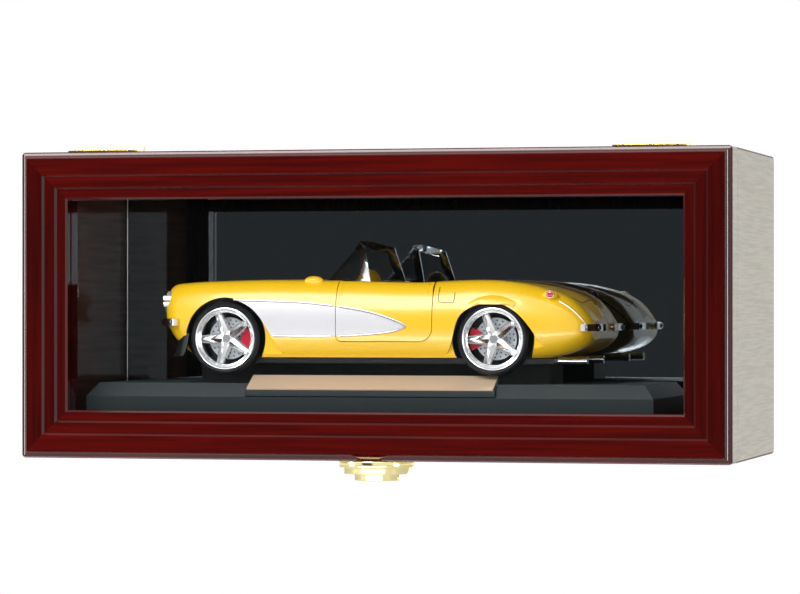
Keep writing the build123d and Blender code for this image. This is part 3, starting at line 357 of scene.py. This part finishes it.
class Wire:
    """A socket in a material. Arithmetic on it adds the Math nodes."""

    def __init__(self, tree, socket):
        self.tree = tree
        self.socket = socket

    def add(self, kind, settings=None, sockets=None, out=0):
        """Adds a node, its settings first and then the values or links of its sockets."""
        node = self.tree.nodes.new(kind)
        for name, value in (settings or {}).items():
            setattr(node, name, value)
        for name, value in (sockets or {}).items():
            if isinstance(value, Wire):
                self.tree.links.new(value.socket, node.inputs[name])
            else:
                node.inputs[name].default_value = value
        return Wire(self.tree, node.outputs[out])

    def maths(self, operation, *values):
        return self.add("ShaderNodeMath", {"operation": operation}, dict(enumerate(values)))

    def __add__(self, other):
        return self.maths("ADD", self, other)

    def __sub__(self, other):
        return self.maths("SUBTRACT", self, other)

    def __rsub__(self, other):
        return self.maths("SUBTRACT", other, self)

    def __mul__(self, other):
        return self.maths("MULTIPLY", self, other)

    def __truediv__(self, other):
        return self.maths("DIVIDE", self, other)

    def __gt__(self, other):
        return self.maths("GREATER_THAN", self, other)

    def __lt__(self, other):
        return self.maths("LESS_THAN", self, other)

    def __abs__(self):
        return self.maths("ABSOLUTE", self)

    def __or__(self, other):
        return self.maths("MAXIMUM", self, other)

    __radd__ = __add__
    __rmul__ = __mul__

    def ease(self, low, high):
        """This value from 0 at one level to 1 at another, with soft ends."""
        return self.add(
            "ShaderNodeMapRange", {"interpolation_type": "SMOOTHSTEP"},
            {"Value": self, "From Min": low, "From Max": high},
        )

    def blend(self, low, high):
        """A colour between two, by this value."""
        return self.add("ShaderNodeMix", {"data_type": "RGBA"}, {0: self, 6: low, 7: high}, 2)

    def noise(self, place, stretch, scale, detail):
        """Fine irregular pattern at a place, stretched along its axes."""
        mapped = self.add("ShaderNodeMapping", {}, {"Vector": place, "Scale": stretch})
        return self.add("ShaderNodeTexNoise", {}, {"Vector": mapped, "Scale": scale, "Detail": detail})

    def bump(self, height, strength, depth):
        """A surface normal raised by a height."""
        return self.add("ShaderNodeBump", {}, {"Height": height, "Strength": strength, "Distance": depth})


class Finish:
    """One material with a single shader, and the wires that patterns start from."""

    def __init__(self, name, colour, roughness, **fixed):
        self.material = bpy.data.materials.new(name)
        self.material.use_nodes = True
        tree = self.material.node_tree
        self.shader = tree.nodes["Principled BSDF"]
        self.shader.inputs["Base Color"].default_value = (*colour, 1)
        self.shader.inputs["Roughness"].default_value = roughness
        for socket, value in fixed.items():
            self.shader.inputs[socket.replace("_", " ")].default_value = value
        start = tree.nodes.new("ShaderNodeTexCoord")
        self.place = Wire(tree, start.outputs["Object"])
        parts = self.place.add("ShaderNodeSeparateXYZ", {}, {"Vector": self.place})
        node = parts.socket.node
        self.x, self.y, self.z = (Wire(tree, node.outputs[i]) for i in range(3))

    def feed(self, socket, wire):
        """Links a pattern to a socket of the shader."""
        self.shader.id_data.links.new(wire.socket, self.shader.inputs[socket])
        return self


def wood(name, along, front, front_dark, gloss, wrap):
    """Lacquered wood with its grain along one axis, and painted glare on the outer faces: a pale,
    finely streaked colour without coat that stands in for the white reflection on the cherry.

    The painted glare reaches inwards past an outer face by the wrap, so it can cover a small bevel.
    """
    matt, fine_lines, long_lines = 0.45, 420.0, 14.0
    made = Finish(name, front, matt, Coat_Weight=gloss, Coat_Roughness=0.05, Specular_IOR_Level=0.0)
    stretch = [fine_lines] * 3
    stretch["XYZ".index(along)] = long_lines
    wave = made.place.noise(made.place, stretch, 1.0, 5.0)
    grain = wave.ease(0.25, 0.75)
    lacquer = grain.blend((*front_dark, 1), (*front, 1))
    # Painted glare: the outer faces take a pale streaked colour with no coat in place of the cherry
    outside = (abs(made.x) > OUTER_X - wrap) | (abs(made.z) > OUTER_Z - wrap)
    fine = made.place.noise(made.place, (30.0, 30.0, 900.0), 1.0, 3.0)
    pale = Vector(bpy.context.scene.case_choices.pale)
    painted_glare = fine.ease(0.3, 0.7).blend((*(pale * 0.86), 1), (*pale, 1))
    made.feed("Base Color", outside.blend(lacquer, painted_glare))
    made.feed("Roughness", outside * 0.1 + matt)
    made.feed("Coat Weight", (1 - outside) * gloss)
    made.feed("Normal", made.place.bump(outside * fine, 0.3, 0.0003))
    return made.material


def metal(name, colour, roughness):
    """Polished or brushed metal."""
    return Finish(name, colour, roughness, Metallic=1.0).material


def painted(name, colour):
    """Gloss paint under a clear coat, and the wire of its slightly uneven colour."""
    made = Finish(name, colour, PAINT_ROUGHNESS, Coat_Weight=PAINT_COAT, Coat_Roughness=COAT_ROUGHNESS)
    mottle = made.place.noise(made.place, (1.0, 1.0, 1.0), 60.0, 2.0)
    base = Vector(colour)
    return made, mottle.blend((*(base * 0.96), 1), (*base, 1))


def paint(name, colour):
    """Plain gloss paint."""
    made, tone = painted(name, colour)
    return made.feed("Base Color", tone).material


def body_paint(colour):
    """The body's paint, with painted shade: the inside of the wheel wells and the underside painted
    near-black.
    """
    made, yellow = painted("body_paint", colour)
    wells = []
    for end in ENDS:
        centre = wheel_centre(end)
        across, up = made.x - centre.x, made.z - centre.z
        wells.append((across * across + up * up) < WELL_R ** 2)
    deep = abs(made.y - CAR_Y) < WELL_DEPTH
    # Painted shade: the inside of the wheel wells and the bottom face are painted near-black, with less
    # coat
    dark = ((wells[0] | wells[1]) * deep) | (made.z < BODY_LOW.z + 0.05 * MM)
    made.feed("Base Color", dark.blend(yellow, (0.006, 0.007, 0.008, 1)))
    made.feed("Coat Weight", PAINT_COAT - dark * 0.9 * PAINT_COAT)
    return made.material


def clear(name, alpha):
    """Thin clear glass: mostly see-through, with a clean reflection."""
    made = Finish(name, (0.02, 0.025, 0.025), 0.02, Specular_IOR_Level=0.8)
    edge = made.place.add("ShaderNodeLayerWeight", {}, {"Blend": 0.35}, 1)
    made.feed("Alpha", alpha + edge * edge * edge * 0.7)
    return made.material


def plinth_plastic():
    """Dark moulded plastic: gloss sides and a pebbled top."""
    colour = Vector(bpy.context.scene.case_choices.plinth)
    made = Finish("plinth_plastic", colour, 0.35)
    speckle = made.place.noise(made.place, (1.0, 1.0, 1.0), 900.0, 2.0)
    top = made.z > PLINTH_TOP
    pebbles = top * speckle.ease(0.35, 0.7)
    made.feed("Base Color", pebbles.blend((*(colour * 0.75), 1), (*(colour * 1.5), 1)))
    made.feed("Roughness", 0.32 + top * 0.3)
    made.feed("Normal", made.place.bump(speckle * top, 0.7, 0.0005))
    return made.material


def drilled_disc(end):
    """Pale brushed brake disc with curved rows of small holes, which are painted shade: dark dots in place
    of cut holes, and a plain hub.
    """
    colour = Vector(bpy.context.scene.car_choices.disc)
    centre = wheel_centre(end)
    made = Finish(f"{end}_drilled_disc", colour, 0.35, Metallic=0.35)
    across, up = made.x - centre.x, made.z - centre.z
    reach = made.place.maths("POWER", across * across + up * up, 0.5)
    turn = made.place.maths("ARCTAN2", up, across)
    rows = []
    for row in range(DISC_ROWS):
        ring = (FIRST_ROW_R + row * ROW_STEP) * MM
        swing = turn * DISC_HOLES / (2 * pi) + row * ROW_SWING
        cell = swing - made.place.maths("FLOOR", swing) - 0.5
        sideways = cell * (2 * pi * ring / DISC_HOLES)
        outwards = reach - ring
        rows.append((sideways * sideways + outwards * outwards) < (DISC_HOLE_R * MM) ** 2)
    # Painted shade: each hole is a near-black dot on the disc, not a cut
    hole_shade = rows[0] | rows[1] | rows[2]
    made.feed("Base Color", hole_shade.blend((*colour, 1), (*(colour * 0.06), 1)))
    return made.material


def give(material, nodes):
    """Puts a better material in the slots of CAD nodes."""
    for node in nodes:
        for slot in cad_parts[node].material_slots:
            slot.material = material


# Case

class CASE_OT_woodwork(bpy.types.Operator):
    """Finishes the boards, rails and beads"""

    bl_idname = "display_case.woodwork"
    bl_label = "Woodwork"

    def execute(self, context):
        choices = context.scene.case_choices
        cherry, grain, inside = Vector(choices.cherry), Vector(choices.cherry_dark), Vector(choices.inner)
        rail = (tuple(cherry), tuple(grain), 1.0, DOOR_WRAP)
        # Painted shade: the stiles take the rails' cherry and grain, darkened
        shaded_upright = (tuple(cherry * 0.62), tuple(grain * 0.7), 1.0, DOOR_WRAP)
        board = (tuple(inside), tuple(inside * 0.55), 0.3, BOARD_WRAP)
        give(wood("cherry_along", "X", *rail), ["door_top_rail", "door_bottom_rail"])
        stiles = ["door_left_stile", "door_right_stile", "glass_stops"]
        give(wood("cherry_upright", "Z", *shaded_upright), stiles)
        give(wood("inner_along", "X", *board), ["case_top_board", "case_bottom_board"])
        give(wood("inner_deep", "Y", *board), ["case_left_side", "case_right_side"])
        give(Finish("backing_board", shade(90, 66, 48), 0.7).material, ["back_panel"])
        return {"FINISHED"}


class CASE_OT_glazing(bpy.types.Operator):
    """Finishes the pane, the mirror and the felt dots"""

    bl_idname = "display_case.glazing"
    bl_label = "Glass and mirror"

    def execute(self, context):
        give(clear("door_pane", 0.03), ["door_glass"])
        give(metal("smoked_mirror", context.scene.case_choices.mirror, 0.01), ["back_mirror"])
        give(Finish("felt", shade(40, 36, 34), 0.95).material, ["door_bumpers"])
        low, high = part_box("back_mirror")
        edge, proud, r = 1.2 * MM, 0.2 * MM, 0.35 * MM
        line = [(low.x + edge, low.y - proud, z) for z in (low.z + edge, high.z - edge)]
        bright = metal("mirror_edge", shade(190, 195, 200), 0.2)
        settle(tube(line, r), "mirror_left_edge", bright, "case")
        return {"FINISHED"}


class CASE_OT_metalwork(bpy.types.Operator):
    """Finishes the hinges and clasp and adds the hinge screws"""

    bl_idname = "display_case.metalwork"
    bl_label = "Hinges and clasp"

    def execute(self, context):
        brass = metal("polished_brass", context.scene.case_choices.brass, 0.12)
        steel = metal("plain_steel", shade(150, 150, 150), 0.35)
        give(brass, [
            "hinge_case_leaves", "hinge_door_leaves", "hinge_pins", "clasp_case_half", "clasp_door_half",
            "release_button",
        ])
        for body in ("case", "door"):
            softened(f"clasp_{body}_half", CLASP_ROUND, brass, body)
        give(steel, [
            "wall_hangers", "clasp_hook_pin", "clasp_springs", "clasp_hook", "plinth_screws", "car_screws",
        ])
        for body, node in (("case", "hinge_case_leaves"), ("door", "hinge_door_leaves")):
            low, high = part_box(node)
            y = high.y - HINGE_INSET if body == "case" else low.y + HINGE_INSET
            heads = []
            for middle in HINGES:
                for offset in HINGE_SCREWS:
                    place = ((middle + offset) * MM, y, HINGE_TOP)
                    heads.append(dome(place, SCREW_R, SCREW_HEIGHT, "Z"))
            settle(joined(heads), f"hinge_screws_{body}", brass, body)
        return {"FINISHED"}


class CASE_OT_plinth(bpy.types.Operator):
    """Finishes the plinth and its bare name plate"""

    bl_idname = "display_case.plinth"
    bl_label = "Plinth"

    def execute(self, context):
        give(plinth_plastic(), ["plinth_base", "name_block"])
        give(Finish("riser_black", shade(9, 11, 13), 0.6).material, ["plinth_riser"])
        choices = context.scene.case_choices
        plate = Finish("satin_plate", choices.plate, 0.38, Metallic=0.35)
        brushed = plate.place.noise(plate.place, (40.0, 900.0, 900.0), 1.0, 2.0)
        tone = Vector(choices.plate)
        plate.feed("Base Color", brushed.blend((*(tone * 0.85), 1), (*tone, 1)))
        give(plate.material, ["name_plate"])
        return {"FINISHED"}


# Roadster

COVE_UPPER = ((-80.2, 2.7), (-62, 2.1), (-44.4, 1.5), (-24.4, -0.5), (-6.6, -3.4), (6.8, -7.5), (14, -10.9))
COVE_LOWER = ((-58, -16.2), (-42, -16.3), (-20.1, -16.1), (-1.3, -14.8), (8.5, -13.2), (14, -10.9))


class CAR_OT_bodywork(bpy.types.Operator):
    """Paints the roadster and adds its panel lines and bright trim"""

    bl_idname = "display_case.bodywork"
    bl_label = "Roadster body"

    def execute(self, context):
        choices = context.scene.car_choices
        yellow = paint("roadster_paint", choices.paint)
        give(yellow, ["roadster_door_left", "roadster_door_right", "wing_mirror", "tail_lamps"])
        give(body_paint(choices.paint), ["roadster_body"])
        give(paint("scoop_paint", choices.cove), ["cove_panels", "door_cove_left", "door_cove_right"])
        chrome = metal("chrome", shade(225, 228, 232), 0.06)
        gap = Finish("panel_gap", shade(60, 40, 6), 0.8).material
        silver = Finish("silver_trim", shade(176, 168, 166), 0.25, Metallic=0.6).material
        self.scoop_trim(silver, choices.trim_r)
        self.panel_lines(gap, choices.gap_r)
        self.tail_trim(chrome, choices.trim_r)
        self.wing_lips(yellow)
        self.door_corners(yellow)
        self.chin(Finish("chin_black", shade(14, 16, 18), 0.4).material)
        return {"FINISHED"}

    def scoop_trim(self, material, r):
        """The thin bright line round each scoop, in a wing part and a door part."""
        split = DOOR_LOW.x / MM
        for side, name in SIDES:
            for edge, line, lift in (("upper", COVE_UPPER, 1.0), ("lower", COVE_LOWER, -1.0)):
                fine = [(p.x, p.z) for p in curve_through([(x, 0, z) for x, z in line], 10)]
                wing = on_flank(side, [p for p in fine if p[0] < split - 0.6], lift)
                door = on_flank(side, [p for p in fine if split + 0.4 < p[0] < 13.6], lift)
                settle(tube(wing, r), f"scoop_trim_{edge}_{name}", material, "case")
                settle(tube(door, r), f"door_scoop_trim_{edge}_{name}", material, f"car_door_{name}")

    def panel_lines(self, material, r):
        """Dark lines round the bonnet, the boot lid and the folded-roof cover, and at the fuel flap."""
        outlines = {
            "bonnet_line": [(-48, 0), (-49, 30), (-60, 33), (-90, 31), (-112, 27), (-116, 20), (-116.5, 0)],
            "boot_line": [(62, 0), (62, 24), (66, 27), (90, 24), (99, 21), (101, 12), (101.5, 0)],
            "roof_cover_line": [(38, 36), (46, 37.5), (56, 36), (58, 20), (58, 0)],
        }
        for name, half in outlines.items():
            whole = half + [(x, -out) for x, out in reversed(half[:-1])]
            fine = [(p.x, p.y) for p in curve_through([(x, out, 0) for x, out in whole], 8)]
            settle(tube(on_deck(fine), r), name, material, "case")
        flap = [(30.4, 9.4), (30.4, 3), (31.6, 1.6), (37.4, 1.2), (38.7, 2.4), (38.9, 6.5)]
        fine = [(p.x, p.z) for p in curve_through([(x, 0, z) for x, z in flap], 6)]
        settle(tube(on_flank(LEFT, fine), r), "fuel_flap_line", material, "case")

    def wing_lips(self, material):
        """The skin of each rear wing where it comes down to the top of the wheel opening."""
        centre = wheel_centre("rear")
        for side, name in SIDES:
            rows = []
            for i in range(LIP_ROWS + 1):
                turn = radians(LIP_START + i * LIP_SWEEP / LIP_ROWS)
                spots = []
                for r in (OPENING_R, LIP_R):
                    x, z = centre.x / MM + r * cos(turn), centre.z / MM + r * sin(turn)
                    spots.append(on_flank(side, [(x, z)])[0])
                slope = (spots[0] - spots[1]) / (LIP_R - OPENING_R)
                inner = min(LIP_LEVEL / sin(turn), LIP_MOST)
                under = Vector((0, -side * 0.3 * MM, 0))
                bow = Vector((0, side * 0.25 * MM, 0))
                rows.append([
                    spots[0] + under, spots[0] + slope * 1.0, spots[0] + slope * 2.6 + bow,
                    spots[0] + slope * (OPENING_R - inner),
                ])
            settle(shell(rows, 0.5 * MM), f"rear_wing_lip_{name}", material, "case", 60)

    def chin(self, material):
        """The black lower panel behind the front bumper, with a turned-out foot."""
        plan = ((-106.4, 45.6), (-110.5, 43.4), (-114.6, 36), (-117, 22), (-117.6, 0))
        line = list(plan) + [(x, -out) for x, out in reversed(plan[:-1])]
        rows = []
        for place in curve_through([(x, out, 0) for x, out in line], 5):
            rows.append([
                Vector(((place.x - flare) * MM, CAR_Y + place.y * MM, z * MM))
                for z, flare in ((-15.0, -1.5), (-20.0, -0.6), (-24.5, 0.4), (-26.8, 2.0))
            ])
        settle(shell(rows, 0.9 * MM), "front_chin", material, "case", 50)

    def door_corners(self, material):
        """The rolled upper corners of each car door, flush with the wings."""
        for side, name in SIDES:
            for end, edge, inside in (("front", -24.15, -21.8), ("rear", 26.8, 24.6)):
                rows = []
                for step in range(CORNER_ROWS):
                    out = side * (CORNER_START + step * CORNER_STEP)
                    hit = on_deck([(inside, out)])[0]
                    rows.append([Vector((x * MM, hit.y, hit.z)) for x in (edge, inside - 0.4, inside)])
                settle(shell(rows, 0.5 * MM), f"door_corner_{end}_{name}", material, f"car_door_{name}", 60)

    def tail_trim(self, material, r):
        """Bright lines that run down from the tail lamps round the corners of the tail."""
        for side, name in SIDES:
            points = []
            for x, z in ((93, 2.6), (97, 0.2), (101, -2.8), (104.5, -6.2), (107, -9.6)):
                start = Vector((x * MM, CAR_Y + side * FLANK_START, (z + 9) * MM))
                aim = Vector((0, -side * 1.0, -0.25)).normalized()
                hit = car_skin.ray_cast(start, aim)[0]
                if hit:
                    points.append(hit)
            settle(tube(curve_through(points, 6), r), f"tail_trim_{name}", material, "case")


class CAR_OT_brightwork(bpy.types.Operator):
    """Finishes the screen, grille, bumpers, lamps and exhaust"""

    bl_idname = "display_case.brightwork"
    bl_label = "Roadster brightwork"

    def execute(self, context):
        chrome = bpy.data.materials["chrome"]
        give(chrome, [
            "windscreen_frame", "radiator_grille", "front_bumpers", "rear_bumpers", "exhaust_tips",
        ])
        give(clear("screen_pane", 0.2), ["windscreen_glass"])
        lens = Finish("lamp_lens", shade(226, 232, 236), 0.12, Coat_Weight=1.0, Metallic=0.6)
        give(lens.material, ["headlamps"])
        self.tail_lenses(chrome)
        low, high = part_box("headlamps")
        r = (high.z - low.z) / 2
        z = (low.z + high.z) / 2
        for y, name in ((low.y + r, "left"), (high.y - r, "right")):
            centre = Vector((LAMP_FACE, y, z))
            rim = [
                (0, r + 0.1 * MM), (-1.3 * MM, r + 0.3 * MM), (-1.8 * MM, r - 0.3 * MM),
                (-1.5 * MM, r - 0.9 * MM), (0, r - 0.8 * MM),
            ]
            settle(turned(rim, centre, "X", 1, 48), f"lamp_rim_{name}", chrome, "case")
        self.bumper_guards(chrome)
        return {"FINISHED"}

    def tail_lenses(self, chrome):
        """A small red lens in a bright ring on each tail lamp's housing."""
        red = Finish("red_lens", shade(196, 20, 14), 0.15, Coat_Weight=1.0).material
        low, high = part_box("tail_lamps")
        for side, name in SIDES:
            y = low.y + LENS_INSET if side == LEFT else high.y - LENS_INSET
            centre = Vector(((low.x + high.x) / 2 + 0.8 * MM, y, (low.z + high.z) / 2 + 0.2 * MM))
            settle(dome(centre, 1.7 * MM, 0.9 * MM, "Y", side, 24), f"tail_lens_{name}", red, "case")
            ring = [(0, 1.6 * MM), (0.45 * MM, 1.7 * MM), (0.4 * MM, 2.0 * MM), (-0.3 * MM, 2.2 * MM)]
            settle(turned(ring, centre, "Y", side, 32), f"tail_ring_{name}", chrome, "case")

    def bumper_guards(self, material):
        """Bullet-shaped guards on both pairs of bumpers."""
        section = ((0, TIP), (0, 2.0), (1.4, 2.1), (2.2, 1.7), (2.8, 0.9), (3.0, TIP))
        bullet = [(along * MM, r * MM) for along, r in section]
        for end, sign, out, inset in (("front", -1, 33, 3.4), ("rear", 1, 32, 2.4)):
            low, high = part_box(f"{end}_bumpers")
            x = low.x if end == "front" else high.x
            z = (low.z + high.z) / 2
            for side, name in SIDES:
                centre = Vector((x - sign * (inset * MM), CAR_Y + side * out * MM, z))
                settle(turned(bullet, centre, "X", sign, 24), f"{end}_guard_{name}", material, "case")


class CAR_OT_cockpit(bpy.types.Operator):
    """Finishes the cockpit"""

    bl_idname = "display_case.cockpit"
    bl_label = "Roadster cockpit"

    def execute(self, context):
        give(Finish("cockpit_trim", shade(205, 160, 20), 0.5).material, ["seats"])
        give(Finish("cockpit_black", shade(24, 24, 26), 0.6).material, ["cockpit_tub", "steering_wheel"])
        nothing_selected()
        bpy.ops.mesh.primitive_uv_sphere_add(
            segments=32, ring_count=20, location=(POD_X, CAR_Y - POD_OUT, POD_Z), scale=POD_SIZE,
        )
        pod = context.object
        bpy.ops.object.mode_set(mode="EDIT")
        bpy.ops.mesh.select_all(action="SELECT")
        bpy.ops.mesh.bisect(plane_co=(0, 0, POD_FOOT), plane_no=(0, 0, 1), clear_inner=True, use_fill=True)
        bpy.ops.object.mode_set(mode="OBJECT")
        settle(pod, "instrument_pod", bpy.data.materials["cockpit_trim"], "case")
        return {"FINISHED"}


class CAR_OT_wheels(bpy.types.Operator):
    """Finishes the wheels and adds their riveted lips"""

    bl_idname = "display_case.wheels"
    bl_label = "Roadster wheels"

    def execute(self, context):
        choices = context.scene.car_choices
        rubber = Finish("tyre_rubber", shade(14, 18, 22), 0.6, Specular_IOR_Level=0.25).material
        give(rubber, ["front_tyres", "rear_tyres"])
        bright = Finish("wheel_chrome", shade(240, 243, 246), 0.14, Metallic=0.72).material
        give(bright, ["front_rims", "rear_rims"])
        give(paint("caliper_paint", choices.caliper), ["brake_calipers"])
        give(Finish("chassis_black", shade(14, 16, 18), 0.5).material, ["chassis_pan"])
        for end in ENDS:
            give(drilled_disc(end), [f"{end}_axle"])
            for side, name in SIDES:
                self.lip(end, side, name, bright, choices.rivets)
                self.spoke_ridges(end, side, name, bpy.data.materials["chrome"])
        return {"FINISHED"}

    def lip(self, end, side, name, material, rivets):
        """The rolled lip of one rim and the ring of rivets inside it."""
        centre = wheel_centre(end)
        centre.y = CAR_Y + side * WHEEL_FACE
        section = (
            (-0.7, 16.1), (-0.1, 16.1), (0.0, 15.7), (-0.3, 15.3), (-1.2, 14.9),
            (-1.9, 13.9), (-2.3, 13.6), (-2.7, 13.8), (-2.6, 14.8), (-1.6, 15.6),
        )
        profile = [(along * MM, r * MM) for along, r in section]
        ring = turned(profile, centre, "Y", side)
        heads = []
        for i in range(rivets):
            turn = 2 * pi * i / rivets
            spot = Vector((RIVET_RING_R * cos(turn), -side * RIVET_DEPTH, RIVET_RING_R * sin(turn)))
            heads.append(dome(centre + spot * MM, RIVET_R * MM, RIVET_HEIGHT * MM, "Y", side, 8))
        settle(joined([ring] + heads), f"{end}_lip_{name}", material, f"{end}_wheels")

    def spoke_ridges(self, end, side, name, material):
        """The raised middle of each of the five spokes, with a sharp crest."""
        centre = wheel_centre(end)
        centre.y = CAR_Y + side * WHEEL_FACE
        stations = ((2.6, 2.2, 1.0), (6, 1.9, 1.5), (10, 1.5, 1.2), (13.4, 1.35, 1.0), (14.8, 1.6, 0.5))
        ridges = []
        for i in range(SPOKES):
            turn = radians(FIRST_SPOKE + i * 360 / SPOKES)
            along = Vector((cos(turn), 0, sin(turn)))
            across = Vector((-sin(turn), 0, cos(turn)))
            out = Vector((0, side, 0))
            rows = []
            for r, half, crest in stations:
                foot = centre + along * r * MM - out * SPOKE_DEPTH * MM
                rows.append([
                    foot + across * half * share * MM + out * crest * rise * MM
                    for share, rise in ((-1, 0), (-0.45, 0.55), (0, 1), (0.45, 0.55), (1, 0))
                ])
            ridges.append(shell(rows, 0.15 * MM))
        settle(joined(ridges), f"{end}_spoke_ridges_{name}", material, f"{end}_wheels", 20)


# Stage

class STAGE_OT_studio(bpy.types.Operator):
    """Adds the floor, the sky, the lamps and the camera"""

    bl_idname = "display_case.studio"
    bl_label = "Studio"

    def execute(self, context):
        choices = context.scene.stage_choices
        nothing_selected()
        bpy.ops.mesh.primitive_plane_add(size=FLOOR_SIZE, location=(0, 0, -choices.drop))
        floor = context.object
        floor.name = "floor"
        bpy.ops.object.transform_apply(location=True)
        white = Finish("floor_white", (0.9, 0.9, 0.9), 0.9, Specular_IOR_Level=0.0)
        floor.data.materials.append(white.material)
        self.sky(context.scene, choices.level)
        self.lamp("key", KEY_PLACE, 1.0, 1.0, choices.key)
        strips = (
            ("right_strip", (1.9, -0.55, 0.1), 0.4, 1.2, 1.0),
            ("left_strip", (-1.9, -0.9, 0.1), 0.4, 1.2, 1.0),
            ("lower_strip", (0, -1.0, -0.44), 1.6, 0.2, 0.4),
            ("upper_strip", (0, -1.0, 1.3), 1.6, 0.3, 0.15),
        )
        for name, place, wide, tall, share in strips:
            self.lamp(name, place, wide, tall, choices.strip * share, False)
        self.camera(context.scene)
        return {"FINISHED"}

    def sky(self, scene, level):
        """White to the eye and through glass, and even as a light.

        In reflections a dark card stands in front of the case and the sky is brighter overhead.
        """
        world = bpy.data.worlds.new("studio_sky")
        world.use_nodes = True
        scene.world = world
        tree = world.node_tree
        path = Wire(tree, tree.nodes.new("ShaderNodeLightPath").outputs["Is Camera Ray"])
        rays = path.socket.node.outputs
        seen = path | Wire(tree, rays["Is Transmission Ray"])
        shiny = Wire(tree, rays["Is Glossy Ray"])
        start = tree.nodes.new("ShaderNodeTexCoord")
        way = Wire(tree, start.outputs["Generated"])
        parts = way.add("ShaderNodeSeparateXYZ", {}, {"Vector": way}).socket.node
        across = Wire(tree, parts.outputs["X"])
        forward = Wire(tree, parts.outputs["Y"])
        up = Wire(tree, parts.outputs["Z"])
        beside = abs(across + CARD_OFFSET).ease(*CARD_WIDTH)
        card = (1 - abs(up).ease(*CARD_HEIGHT)) * (1 - beside) * (forward < 0)
        above = up.ease(*OVERHEAD) * OVERHEAD_LIGHT
        reflected = 1 - CARD_DARK * card + above
        strength = seen + (1 - seen) * (shiny * reflected + (1 - shiny) * level)
        tree.links.new(strength.socket, tree.nodes["Background"].inputs["Strength"])
        tree.nodes["Background"].inputs["Color"].default_value = (1, 1, 1, 1)

    def lamp(self, name, place, wide, tall, power, shines=True):
        """A flat lamp that faces the case, and may show in reflections alone."""
        nothing_selected()
        bpy.ops.object.light_add(type="AREA", location=place)
        lamp = bpy.context.object
        lamp.name = name
        lamp.data.shape = "RECTANGLE"
        lamp.data.size = wide
        lamp.data.size_y = tall
        lamp.data.energy = power
        lamp.rotation_euler = (Vector((0, 0, 0)) - Vector(place)).to_track_quat("-Z", "Y").to_euler()
        lamp.visible_diffuse = shines

    def camera(self, scene):
        """The camera stands to the right of the case, level with its middle."""
        nothing_selected()
        bpy.ops.object.camera_add(location=CAMERA_PLACE, rotation=(pi / 2, 0, radians(CAMERA_TURN)))
        camera = bpy.context.object
        camera.data.lens = CAMERA_LENS
        camera.data.sensor_width = SENSOR
        camera.data.shift_x = SHIFT_X
        camera.data.shift_y = SHIFT_Y
        camera.data.clip_end = 50
        scene.camera = camera
        scene.view_settings.view_transform = "Standard"


STEPS = (
    CASE_OT_woodwork, CASE_OT_glazing, CASE_OT_metalwork, CASE_OT_plinth, CAR_OT_bodywork,
    CAR_OT_brightwork, CAR_OT_cockpit, CAR_OT_wheels, STAGE_OT_studio,
)
CHOICES = {"case_choices": CaseChoices, "car_choices": CarChoices, "stage_choices": StageChoices}


class CASE_PT_panel(bpy.types.Panel):
    """Lists the choices and the steps"""

    bl_idname = "CASE_PT_panel"
    bl_label = "Display Case"
    bl_space_type = "VIEW_3D"
    bl_region_type = "UI"
    bl_category = "Display Case"

    def draw(self, context):
        for name, group in CHOICES.items():
            box = self.layout.box()
            for prop in group.__annotations__:
                box.prop(getattr(context.scene, name), prop)
        for step in STEPS:
            self.layout.operator(step.bl_idname)


def register():
    for group in CHOICES.values():
        bpy.utils.register_class(group)
    for step in STEPS + (CASE_PT_panel,):
        bpy.utils.register_class(step)
    for name, group in CHOICES.items():
        setattr(bpy.types.Scene, name, bpy.props.PointerProperty(type=group))


def unregister():
    for name in CHOICES:
        delattr(bpy.types.Scene, name)
    for step in reversed(STEPS + (CASE_PT_panel,)):
        bpy.utils.unregister_class(step)
    for group in CHOICES.values():
        bpy.utils.unregister_class(group)


def main():
    register()
    for step in STEPS:
        family, name = step.bl_idname.split(".")
        getattr(getattr(bpy.ops, family), name)()


if __name__ == "__main__":
    main()
